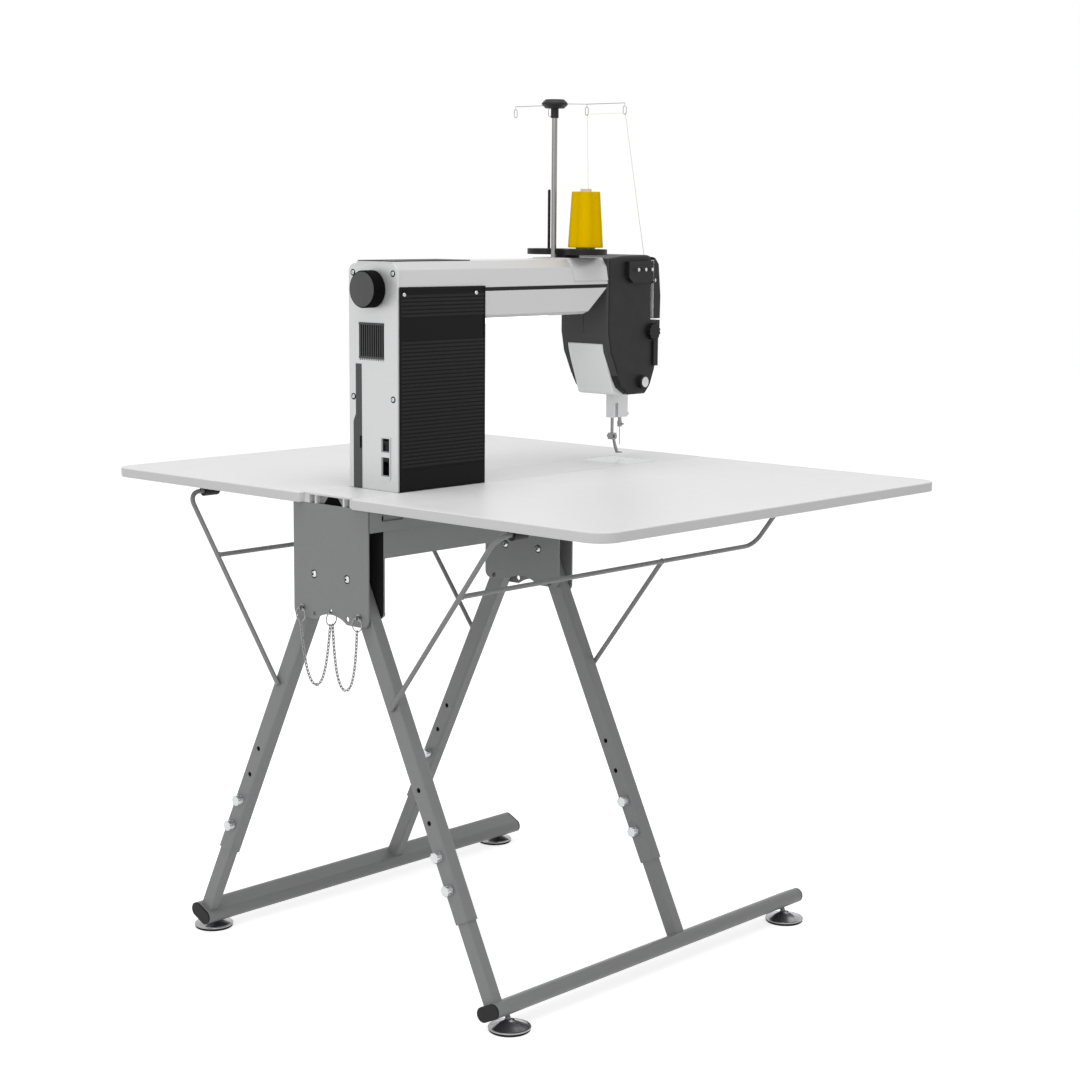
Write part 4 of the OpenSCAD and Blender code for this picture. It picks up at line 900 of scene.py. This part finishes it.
class SewingTableLegs(Operator):
    """Build the leg tubes, the lower frames, their caps and the clamping bolts"""

    bl_idname = "sewing_table.legs"
    bl_label = "Legs"

    def execute(self, context):
        for side in SIDES:
            dress(side + "_leg_tubes", side + "_outer_tubes", powder_coat, TUBE_EDGE)
            dress(side + "_lower_frame", side + "_inner_tubes_and_bar", powder_coat, TUBE_EDGE)
            dress(side + "_bar_caps", side + "_oval_caps", black_plastic, MOULDED_EDGE)
            self.clamp_bolts(side)
            self.free_holes(side)
        return {"FINISHED"}

    def clamp_bolts(self, side):
        """The clamping bolts, with their heads grown to the real width."""
        head, head_shares, under = 0.0085, (1.25, 1.5, 1.25), 0.0002
        node = side + "_clamp_bolts"
        shape = merged_copy(node)
        for bolt in islands(shape):
            seat, _, high = box_of(bolt)
            seat.y = high.y - head
            stretched([v for v in bolt if v.co.y > seat.y - under], seat, head_shares)
        round_edges(shape, TURNED_EDGE)
        stand_in(node, side + "_clamping_screws", shape, bright_zinc)

    def free_holes(self, side):
        """Black discs in the height holes that no bolt fills, painted shade for their dark insides.
        """
        sunk, radius, half = 0.0015, 0.0041, 0.0002
        tubes, reaches = ((0.3965, 0.4215), (-0.0525, -0.0275)), (0.353, 0.407)
        disc = [(0, -half), (radius, -half), (radius, half), (0, half)]
        pivot_x, pivot_z = LEG_FOLD["pos_m"][0] - MACHINE_X, LEG_FOLD["pos_m"][2]
        discs = []
        for reach in reaches:
            x = SIDES[side] * (pivot_x + reach * math.sin(LEG_LEAN))
            z = pivot_z - reach * math.cos(LEG_LEAN)
            for front, back in tubes:
                for y in (back - sunk, front + sunk):
                    discs.append(turned(disc, spot(x, y, z), REARWARD, 24))
        add_to(side + "_leg_tubes", side + "_free_holes", joined(*discs), port_black)


class SewingTableFeet(Operator):
    """Turn the four levelling feet with their rubber rings"""

    bl_idname = "sewing_table.feet"
    bl_label = "Levelling feet"

    def execute(self, context):
        radius, ball_height = 0.034, 0.012
        ring = [(0, 0), (0.0318, 0), (0.033, 0.0012), (0.0334, 0.0042), (0.0315, 0.005),
                (0, 0.005)]
        dish = [(0, 0.0042), (0.0332, 0.0042), (radius, 0.0046), (radius, 0.0058),
                (0.0334, 0.0066), (0.0315, 0.0068), (0.0305, 0.0066), (0.022, 0.0098),
                (0.0125, 0.0139), (0.0095, 0.0152), (0.008, 0.0166), (0.0068, 0.0166),
                (0.0062, 0.0158), (0, 0.0158)]
        ball = [(0, -0.007), (0.0035, -0.006), (0.006, -0.0036), (0.007, 0), (0.006, 0.0036),
                (0.0035, 0.006), (0, 0.007)]
        for side, sign in SIDES.items():
            for end in ("back", "front"):
                node = f"{side}_{end}_foot"
                low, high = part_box(node)
                x = low.x + radius if sign > 0 else high.x - radius
                middle = Vector((x, (low.y + high.y) / 2, 0))
                centre = middle + Vector((0, 0, ball_height))
                lean = (-sign * math.sin(LEG_LEAN), 0, math.cos(LEG_LEAN))
                steel = joined(turned(dish, middle, steps=64), turned(ball, centre, steps=32),
                               turned(self.stem(), centre, lean, 24))
                add_to(node, node + "_rubber", turned(ring, middle), sole_rubber)
                stand_in(node, node + "_dish", steel, foot_chrome)
        return {"FINISHED"}

    def stem(self):
        """The outline of the threaded stem, from the ball's centre up."""
        crest, root, start, top = 0.0045, 0.0039, 0.0045, 0.0172
        turns, pitch, flank = 10, 0.00125, 0.0006
        outline = [(0, 0)]
        for turn in range(turns):
            height = start + turn * pitch
            outline += [(crest, height), (root, height + flank)]
        return outline + [(crest, top), (0, top)]


class SewingTableLockPins(Operator):
    """Finish the lock pins with their key rings, and the two chains"""

    bl_idname = "sewing_table.lock_pins"
    bl_label = "Lock pins and chains"

    def execute(self, context):
        for side in SIDES:
            dress(side + "_lock_pin", side + "_pin_and_ring", dark_chrome, TUBE_EDGE)
            self.chain(side)
        return {"FINISHED"}

    def chain(self, side):
        """A chain with its links swelled a little, between the plate and its pin."""
        swell, anchor_y, anchor_z = 0.0001, 0.4345, 0.595
        node = side + "_chain"
        shape = bmesh.new()
        shape.from_mesh(frame["nodes"][node].data)
        bmesh.ops.remove_doubles(shape, verts=shape.verts, dist=WELD)
        shape.normal_update()
        for vert, way in [(v, v.normal.copy()) for v in shape.verts]:
            vert.co += way * swell
        piece = placed(side + "_link_chain", shape, dark_chrome)
        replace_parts(piece, node)
        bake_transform(piece)


class SewingTableBed(Operator):
    """Finish the bed casting, the needle plate and the bobbin hook"""

    bl_idname = "sewing_table.bed"
    bl_label = "Machine bed"

    def execute(self, context):
        dress("bed_casting", "bed_shell", cast_alloy, CAST_EDGE)
        dress("needle_plate", "stitch_plate", bright_zinc, PRESSED_EDGE)
        coat(polished_steel, "bobbin_hook")
        return {"FINISHED"}


class SewingTableColumn(Operator):
    """Build the column: core, brushed back panel, ribbed covers, screws and grille"""

    bl_idname = "sewing_table.column"
    bl_label = "Column"

    def execute(self, context):
        dress("column_core", "column_shell", cast_alloy, CAST_EDGE)
        dress("back_panel", "column_back_panel", brushed_panel, PANEL_EDGE)
        self.side_covers()
        self.screws()
        self.grille()
        half, front, back, thick = 0.04, 0.152, 0.33, 0.0014
        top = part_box("arm_housing")[1].z
        cover = block(spot(-half, front, top), spot(half, back, top + thick))
        round_edges(cover, MACHINED_EDGE)
        add_to("side_covers", "arm_top_cover", cover, ribbed_black)
        return {"FINISHED"}

    def side_covers(self):
        """The black side covers: a smooth rim round fine ribs and a plain band."""
        core, proud, rim, pitch, sunk, shy = 0.052, 0.0009, 0.0025, 0.0062, 0.0002, 0.0001
        foot_band, head_band, plain_shares = 0.034, 0.004, (0.735, 0.845)
        low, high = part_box("side_covers")
        crest = high.x - MACHINE_X
        ground = crest - proud
        parts = []
        for side in (-1, 1):
            def slab(bottom, top, inner, outer, front=low.y, back=high.y, side=side):
                left, right = sorted((side * inner, side * outer))
                return block(spot(left, front, bottom), spot(right, back, top))

            parts.append(slab(low.z, high.z, core, ground))
            for bottom, top in ((low.z, low.z + foot_band), (high.z - head_band, high.z)):
                edge = slab(bottom, top, ground - sunk, crest)
                round_edges(edge, TUBE_EDGE)
                parts.append(edge)
            for front, back in ((low.y, low.y + rim), (high.y - rim, high.y)):
                parts.append(slab(low.z, high.z, ground - sunk, crest - shy, front, back))
            z = low.z + foot_band + pitch
            while z < high.z - 2 * head_band:
                share = (z - low.z) / (high.z - low.z)
                if not plain_shares[0] < share < plain_shares[1]:
                    parts.append(self.rib(side, z, ground, low.y + rim, high.y - rim, pitch))
                z += pitch
        # The ground between the ribs is darker than the ribs, as painted shade in the grooves
        stand_in("side_covers", "ribbed_side_covers", joined(*parts), rib_ground, ribbed_black)

    def rib(self, side, z, ground, front, back, pitch):
        """One rib: a low rounded ridge along the cover."""
        sunk, shoulder, height = 0.0002, 0.0005, 0.0009
        half = [(out, share * pitch) for out, share in (
            (-sunk, 0.34), (shoulder, 0.3), (height, 0.15))]
        profile = [(out, -up) for out, up in half] + half[::-1]
        shape = pushed([spot(side * (ground + out), front, z + up) for out, up in profile],
                       (0, back - front, 0))
        second_finish(shape, lambda face: True)
        return shape

    def screws(self):
        """The eight screws, each in a dark washer."""
        wider, rim, rim_thick, rim_chamfer = 1.2, 0.0053, 0.0006, (0.0003, 0.0003)
        shape, rims = merged_copy("panel_screws"), []
        for screw in islands(shape):
            middle, low, high = box_of(screw)
            if high.x - low.x < high.y - low.y:
                side = 1 if middle.x > MACHINE_X else -1
                away, grow = (side, 0, 0), (1, wider, wider)
                foot = Vector((low.x if side > 0 else high.x, middle.y, middle.z))
            else:
                away, grow = REARWARD, (wider, 1, wider)
                foot = Vector((middle.x, low.y, middle.z))
            stretched(screw, middle, grow)
            rims.append(washer(rim, rim_thick, rim_chamfer, foot, away))
        stand_in("panel_screws", "cover_screws", shape, bright_zinc)
        add_to("panel_screws", "screw_washers", joined(*rims), port_black)

    def grille(self):
        """The dark grille over the column's air slots."""
        x, z, half = 0.0035, 1.048, 0.029
        bars, pitch, half_bar, margin, rail = 11, 0.0051, 0.001, 0.002, 0.0035
        sunk, ground, bar_top, rail_top = 0.0001, 0.0003, 0.0011, 0.0012
        base = MACHINE_BACK + sunk
        parts = [block(spot(x - half, MACHINE_BACK - sunk, z - half),
                       spot(x + half, MACHINE_BACK + ground, z + half))]
        for step in range(bars):
            middle = x + (step - bars // 2) * pitch
            parts.append(block(
                spot(middle - half_bar, base, z - half + margin),
                spot(middle + half_bar, MACHINE_BACK + bar_top, z + half - margin)))
        for low in (z - half, z + half - rail):
            parts.append(block(spot(x - half, base, low),
                               spot(x + half, MACHINE_BACK + rail_top, low + rail)))
        whole = joined(*parts)
        # The plate behind the bars takes the near-black as painted shade in the air slots
        second_finish(whole, lambda face: (
            face.calc_center_median().y < MACHINE_BACK + ground + sunk))
        add_to("power_inlet", "air_grille", whole, strip_grey, port_black)


class SewingTableInlet(Operator):
    """Build the power inlet, its rocker and the dark strip beside it"""

    bl_idname = "sewing_table.inlet"
    bl_label = "Power inlet"

    def execute(self, context):
        dress("power_inlet", "inlet_block", black_plastic, MACHINED_EDGE)
        dress("rocker_switch", "rocker_key", black_plastic, TUBE_EDGE)
        sunk, strip_depth, port_depth = 0.0001, 0.0006, 0.0009
        outline = [(0.0266, 0.8075), (0.0466, 0.8075), (0.0466, 0.916), (0.0408, 0.928),
                   (0.0408, 1.01), (0.0272, 1.01)]
        left, right, bottom, top = 0.027, 0.031, 0.873, 0.893
        strip = pushed([spot(x, MACHINE_BACK - sunk, z) for x, z in outline], (0, strip_depth, 0))
        add_to("power_inlet", "cable_strip", strip, strip_grey)
        port = block(spot(left, MACHINE_BACK, bottom), spot(right, MACHINE_BACK + port_depth, top))
        add_to("power_inlet", "small_port", port, port_black)
        self.face_plate()
        return {"FINISHED"}

    def face_plate(self):
        """The panel's own face round the socket and the switch, as two openings."""
        left, right, low, high = -0.04, -0.019, 0.8255, 0.8945
        mouth_left, mouth_right, mouths = -0.0388, -0.0203, ((0.831, 0.862), (0.8699, 0.8927))
        wall, sill, face_depths, wall_depths = 0.0032, 0.002, (0.0002, 0.0018), (0.0009, 0.0012)
        bands = [((left, low), (mouth_left, high)), ((mouth_right, low), (right, high))]
        edges = (low, *mouths[0], *mouths[1], high)
        for bottom, top in zip(edges[::2], edges[1::2]):
            bands.append(((mouth_left, bottom), (mouth_right, top)))
        walls = []
        for bottom, top in mouths:
            walls.append(((mouth_right - wall, bottom), (mouth_right, top)))
            walls.append(((mouth_left, bottom), (mouth_right - wall, bottom + sill)))
        self.flat_bars("inlet_face", bands, face_depths, brushed_panel)
        # The mouths' inner walls take the grey as painted shade
        self.flat_bars("inlet_wall_shade", walls, wall_depths, recess_grey)

    def flat_bars(self, name, rectangles, depths, maker):
        """Bars on the column's back, from the (across, height) pairs of their corners."""
        start, end = (MACHINE_BACK + depth for depth in depths)
        bars = [block(spot(a[0], start, a[1]), spot(b[0], end, b[1])) for a, b in rectangles]
        add_to("back_panel", name, joined(*bars), maker)


class SewingTableArm(Operator):
    """Build the arm, its end cap and the lamp under it"""

    bl_idname = "sewing_table.arm"
    bl_label = "Arm"

    def execute(self, context):
        long_edge, outside = 0.05, 0.036
        seam_shares, seam_depths, arm_height = (0.475, 0.535), (0.05, 0.0558), 0.095
        shape, low = merged_copy("arm_housing"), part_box("arm_housing")[0].z

        def along(edge):
            reach = edge.verts[0].co - edge.verts[1].co
            away = max(abs(v.co.x - MACHINE_X) for v in edge.verts)
            return abs(reach.y) > long_edge and away > outside

        def in_seam(face):
            centre = face.calc_center_median()
            share = (centre.z - low) / arm_height
            depth = abs(centre.x - MACHINE_X)
            return (seam_shares[0] < share < seam_shares[1]
                    and seam_depths[0] < depth < seam_depths[1])

        round_edges(shape, sizes().arm_edge * 0.5, along, steps=3, sharp=8)
        second_finish(shape, in_seam)
        stand_in("arm_housing", "arm_shell", shape, silver_lacquer, seam_shadow)
        dress("arm_end_cap", "arm_nose_cap", silver_lacquer, TURNED_EDGE)
        self.lamp_strip()
        return {"FINISHED"}

    def lamp_strip(self):
        """The lamp: a bar with two rows of lenses."""
        row, sunk = 0.006, 0.0004
        lens = [(0.0048, 0), (0.0044, 0.0012), (0.003, 0.0023), (0, 0.0029)]
        low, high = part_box("led_strip")
        bar, count, lenses = merged_copy("led_strip"), sizes().lamp_count, []
        for step in range(count):
            y = low.y + (high.y - low.y) * (step + 0.5) / count
            for x in (-row, row):
                lenses.append(turned(lens, spot(x, y, low.z + sunk), (0, 0, -1), 12))
        round_edges(bar, TURNED_EDGE)
        stand_in("led_strip", "lamp_strip", joined(bar, *lenses), lamp_glow)


class SewingTableHead(Operator):
    """Build the sewing head's covers and the light needle housing"""

    bl_idname = "sewing_table.head"
    bl_label = "Sewing head"

    cover_half = 0.0545
    core_half = 0.042

    def execute(self, context):
        near = 0.0003
        marks = [v.co.copy() for v in frame["nodes"]["head_cover"].data.vertices]

        def on_seam(p):
            return any((p.y - m.y) ** 2 + (p.z - m.z) ** 2 < near ** 2 for m in marks)

        self.front_cover(sizes().cover_edge)
        dress("head_rear_cover", "head_back_cover", charcoal_back, HEAD_EDGE,
              pick=self.rim(self.cover_half, on_seam), steps=3, sharp=20, clamp=False)
        dress("needle_housing", "needle_shroud", light_plastic, SHROUD_EDGE,
              pick=self.rim(self.core_half), steps=3, sharp=20, clamp=False)
        return {"FINISHED"}

    def rim(self, half, on_seam=None):
        """A test for the edges of a cover's two side faces, but for those on a seam."""
        near = 0.0002

        def pick(edge):
            ends = [v.co for v in edge.verts]
            if any(abs(abs(e.x - MACHINE_X) - half) > near for e in ends):
                return False
            return not (on_seam and on_seam(ends[0]) and on_seam(ends[1]))

        return pick

    def front_cover(self, radius):
        """The front cover: two cheeks with rounded rims and the body between them."""
        slot_back, slot_front, slit_low, slit_high = -0.298, -0.308, 1.064, 1.067
        inner, outer = self.core_half, self.cover_half
        outline = self.side_outline()
        behind = clipped(outline, (1, 0), slot_back)
        below = clipped(clipped(outline, (-1, 0), -slot_back), (0, -1), -slit_low)
        strip = clipped(clipped(outline, (-1, 0), -slot_front), (0, 1), slit_high)
        parts = [cheek(outline, outline, inner, outer, radius)]
        for piece in (behind, below, strip):
            parts.append(cheek(piece, outline, -inner, -outer, radius))
        body = merged_copy("head_cover")
        for side in (-1, 1):
            bmesh.ops.bisect_plane(
                body, geom=body.verts[:] + body.edges[:] + body.faces[:], dist=0.000001,
                plane_co=spot(side * inner, 0, 0), plane_no=(side, 0, 0),
                clear_outer=True, clear_inner=False)
        stand_in("head_cover", "head_front_cover", joined(*parts, body), charcoal_plastic)
        sunk, proud, gap, lining_top, set_back = 0.0001, 0.0003, 0.001, 1.1722, 0.0007
        lining = block(spot(set_back - outer, slot_front - sunk, slit_high + gap),
                       spot(-inner - gap, slot_front + proud, lining_top))
        add_to("head_cover", "slot_lining", lining, light_plastic)

    def side_outline(self):
        """The outline of the front cover's plain side, as (y, z) pairs in order."""
        near, square, digits, limit = 0.00005, 0.99, 6, 200
        shape, plane, ring = merged_copy("head_cover"), MACHINE_X + self.cover_half, {}
        for edge in shape.edges:
            if any(abs(v.co.x - plane) > near for v in edge.verts):
                continue
            flat = [face for face in edge.link_faces if abs(face.normal.x) > square]
            if len(flat) == 1:
                ends = [tuple(round(c, digits) for c in v.co[1:]) for v in edge.verts]
                for a, b in (ends, ends[::-1]):
                    ring.setdefault(a, []).append(b)
        shape.free()
        start = max(ring, key=lambda p: (p[1], p[0]))
        path, before = [start], None
        while len(path) <= limit:
            options = [p for p in ring[path[-1]] if p != before]
            before = path[-1]
            if options[0] == start:
                break
            path.append(options[0])
        return path


class SewingTableNeedleWorks(Operator):
    """Finish the needle bar, foot, block, lever, dial and guides"""

    bl_idname = "sewing_table.needle_works"
    bl_label = "Needle works"

    def execute(self, context):
        dress("needle_bar_block", "bar_block", brushed_panel, MACHINED_EDGE)
        dress("tension_dial", "tension_knob", black_plastic, TUBE_EDGE)
        dress("thread_guides", "guide_block", charcoal_plastic, TURNED_EDGE)
        dress("take_up_lever", "take_up_arm", polished_steel, PRESSED_EDGE)
        coat(dark_chrome, "needle_bar", "hopping_foot")
        self.chrome_caps()
        return {"FINISHED"}

    def chrome_caps(self):
        """The stop button's cap and the three posts of the upper thread guide."""
        face, away = -0.0625, (-1, 0, 0)
        button, button_thick, button_chamfer = 0.0092, 0.0012, (0.001, 0.0006)
        button_y, button_z, post_z = -0.277, 0.954, 1.1556
        guide_start, guide_length, post_shares = -0.296, 0.067, (0.15, 0.42, 0.72)
        post = [(0, 0), (0.0018, 0), (0.0018, 0.005), (0.0032, 0.0054), (0.0032, 0.0066),
                (0.0024, 0.0072), (0, 0.0072)]
        caps = [washer(button, button_thick, button_chamfer,
                       spot(face, button_y, button_z), away, 48)]
        for share in post_shares:
            place = spot(face, guide_start + share * guide_length, post_z)
            caps.append(turned(post, place, away, 24))
        add_to("guide_wires", "chrome_caps", joined(*caps), polished_steel)


class SewingTableHandwheel(Operator):
    """Build the handwheel on the column's back"""

    bl_idname = "sewing_table.handwheel"
    bl_label = "Handwheel"

    def execute(self, context):
        shaft, shaft_depth, gap, lip, bevel, crown = 0.006, 0.01, 0.0003, 0.001, 0.0022, 0.0008
        low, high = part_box("handwheel")
        start, radius = MACHINE_BACK + gap, (high.x - low.x) / 2
        thick = high.y - start
        outline = [
            (0, -shaft_depth), (shaft, -shaft_depth), (shaft, 0), (radius - lip, 0),
            (radius, lip), (radius, thick - bevel), (radius - 0.0006, thick - crown),
            (radius - 2 * lip, thick), (0, thick),
        ]
        knob = turned(outline, spot(0, start, (low.z + high.z) / 2), REARWARD, 96)
        # The rim takes the near-black as painted shade on the knob's side; the face keeps its dark
        # grey
        second_finish(knob, lambda face: face.normal.y > FACING)
        stand_in("handwheel", "hand_knob", knob, port_black, wheel_face)
        return {"FINISHED"}


class SewingTableThreadStand(Operator):
    """Build the spool tray, the mast with its hub, and the guide wires"""

    bl_idname = "sewing_table.thread_stand"
    bl_label = "Thread stand"

    def execute(self, context):
        hub_low = 1.4158
        dress("spool_tray", "twin_tray", black_plastic, TRAY_EDGE)
        shape = merged_copy("thread_mast")
        round_edges(shape, MACHINED_EDGE)
        second_finish(shape, lambda face: face.calc_center_median().z > hub_low)
        stand_in("thread_mast", "mast_and_hub", shape, mast_steel, charcoal_plastic)
        coat(dark_chrome, "guide_wires")
        coat(black_plastic, "spool_pins")
        coat(pale_thread, "thread")
        return {"FINISHED"}


class SewingTableCone(Operator):
    """Wind the yellow thread on its cone"""

    bl_idname = "sewing_table.cone"
    bl_label = "Thread cone"

    def execute(self, context):
        wide, narrow, start, length, steps = 0.0306, 0.0246, 0.0038, 0.0942, 12
        low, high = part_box("thread_cone")
        foot = Vector(((low.x + high.x) / 2, (low.y + high.y) / 2, low.z))
        wound = [(0.0165, 0.0028), (0.0298, 0.0028)]
        for step in range(steps + 1):
            share = step / steps
            wound.append((wide - (wide - narrow) * share, start + length * share))
        wound += [(0.0237, 0.099), (0.0098, 0.099)]
        stand_in("thread_cone", "wound_package", turned(wound, foot, steps=96), wound_thread)
        core = [(0.00275, 0), (0.017, 0), (0.017, 0.0034), (0.0165, 0.0042), (0.015, 0.0043),
                (0.0097, 0.0971), (0.0097, 0.1034), (0.0091, 0.104), (0.0072, 0.104),
                (0.0066, 0.1025), (0.0055, 0.1025), (0.0055, 0.104), (0.0029, 0.104),
                (0.00275, 0.1032), (0.00275, 0)]
        add_to("thread_cone", "cone_core_tube", turned(core, foot), cone_core)
        return {"FINISHED"}


class SewingTableStage(Operator):
    """Set up the floor, the studio lamps and the camera"""

    bl_idname = "sewing_table.stage"
    bl_label = "Studio"

    def execute(self, context):
        scene = context.scene
        scene.view_settings.view_transform = "Standard"
        self.camera(scene)
        self.floor(scene)
        self.world(scene)
        self.lamp(scene, "lamp_above", 3.6, (-0.4, 0.4, 4.2), 62)
        self.lamp(scene, "lamp_back", 2.4, (-1.2, 3.8, 2.4), 26)
        return {"FINISHED"}

    def camera(self, scene):
        """The camera that was fitted to the photograph."""
        place, turns = (-2.5215, 2.7123, 1.2520), (-41.9335, -8.6946, 0.5053)
        yaw, pitch, roll = (math.radians(turn) for turn in turns)
        ahead = Vector((-math.sin(yaw) * math.cos(pitch), -math.cos(yaw) * math.cos(pitch),
                        math.sin(pitch)))
        level = ahead.cross((0, 0, 1)).normalized()
        above = level.cross(ahead)
        right = level * math.cos(roll) + above * math.sin(roll)
        up = above * math.cos(roll) - level * math.sin(roll)
        lens = bpy.data.cameras.new("photo_camera")
        lens.lens = 71.67
        lens.sensor_width = 36
        lens.shift_x = -0.0157
        lens.shift_y = 0.0027
        camera = bpy.data.objects.new("photo_camera", lens)
        turn = Matrix((right, up, -ahead)).transposed().to_4x4()
        camera.matrix_world = Matrix.Translation(place) @ turn
        scene.collection.objects.link(camera)
        scene.camera = camera

    def seen(self, tree):
        """1 for camera, mirror and see-through rays, 0 for light on the object."""
        rays = tree.nodes.new("ShaderNodeLightPath").outputs
        straight = maths(tree, "MAXIMUM", rays["Is Camera Ray"], rays["Is Glossy Ray"])
        return maths(tree, "MAXIMUM", straight, rays["Is Transmission Ray"])

    def floor(self, scene):
        radius, glow_strength = 14, 0.68
        shape = bmesh.new()
        bmesh.ops.create_circle(shape, cap_ends=True, radius=radius, segments=96)
        mesh = bpy.data.meshes.new("studio_floor")
        shape.to_mesh(mesh)
        shape.free()
        material, tree, shader = blank_finish("studio_paper", (0.82, 0.82, 0.82), 0.9, specular=0.0)
        glow = tree.nodes.new("ShaderNodeEmission")
        tree.links.new(maths(tree, "MULTIPLY", self.seen(tree), glow_strength),
                       glow.inputs["Strength"])
        both = tree.nodes.new("ShaderNodeAddShader")
        tree.links.new(shader.outputs[0], both.inputs[0])
        tree.links.new(glow.outputs[0], both.inputs[1])
        tree.links.new(both.outputs[0], tree.nodes["Material Output"].inputs["Surface"])
        mesh.materials.append(material)
        paper = bpy.data.objects.new("studio_floor", mesh)
        scene.collection.objects.link(paper)

    def world(self, scene):
        """White to look at, and half as bright for the light on the object."""
        world = bpy.data.worlds.new("studio_white")
        world.use_nodes = True
        tree = world.node_tree
        tree.nodes.clear()
        mix = tree.nodes.new("ShaderNodeMixShader")
        tree.links.new(self.seen(tree), mix.inputs["Fac"])
        for slot, strength in ((1, 0.5), (2, 1.0)):
            white = tree.nodes.new("ShaderNodeBackground")
            white.inputs["Color"].default_value = (1, 1, 1, 1)
            white.inputs["Strength"].default_value = strength
            tree.links.new(white.outputs[0], mix.inputs[slot])
        end = tree.nodes.new("ShaderNodeOutputWorld")
        tree.links.new(mix.outputs[0], end.inputs["Surface"])
        scene.world = world

    def lamp(self, scene, name, size, place, power):
        """A round studio lamp aimed at the table's top."""
        target = Vector((0, 0, 0.75))
        light = bpy.data.lights.new(name, "AREA")
        light.shape = "DISK"
        light.size = size
        light.energy = power
        lamp = bpy.data.objects.new(name, light)
        lamp.location = place
        aim = target - Vector(place)
        lamp.rotation_euler = aim.to_track_quat("-Z", "Y").to_euler()
        scene.collection.objects.link(lamp)


STEPS = (
    SewingTableStage, SewingTableEndPlates, SewingTableBoards, SewingTableLeafFittings,
    SewingTableWireSupports, SewingTableLegs, SewingTableFeet, SewingTableLockPins,
    SewingTableBed, SewingTableColumn, SewingTableInlet, SewingTableArm, SewingTableHead,
    SewingTableNeedleWorks, SewingTableHandwheel, SewingTableThreadStand, SewingTableCone,
)


class SewingTablePanel(Panel):
    """Lists the sizes, the colours and the pieces"""

    bl_idname = "VIEW3D_PT_sewing_table"
    bl_label = "Sewing Table"
    bl_space_type = "VIEW_3D"
    bl_region_type = "UI"
    bl_category = "Sewing Table"

    def draw(self, context):
        layout = self.layout
        for group in (context.scene.sewing_table_sizes, context.scene.sewing_table_colours):
            box = layout.box()
            for name in group.__annotations__:
                box.prop(group, name)
        for step in STEPS:
            layout.operator(step.bl_idname, text=step.bl_label)


CLASSES = (SewingTableSizes, SewingTableColours, *STEPS, SewingTablePanel)


def register():
    for item in CLASSES:
        bpy.utils.register_class(item)
    bpy.types.Scene.sewing_table_sizes = PointerProperty(type=SewingTableSizes)
    bpy.types.Scene.sewing_table_colours = PointerProperty(type=SewingTableColours)


def unregister():
    del bpy.types.Scene.sewing_table_colours
    del bpy.types.Scene.sewing_table_sizes
    for item in reversed(CLASSES):
        bpy.utils.unregister_class(item)


def main():
    register()
    for step in STEPS:
        group, name = step.bl_idname.split(".")
        getattr(getattr(bpy.ops, group), name)()


if __name__ == "__main__":
    main()
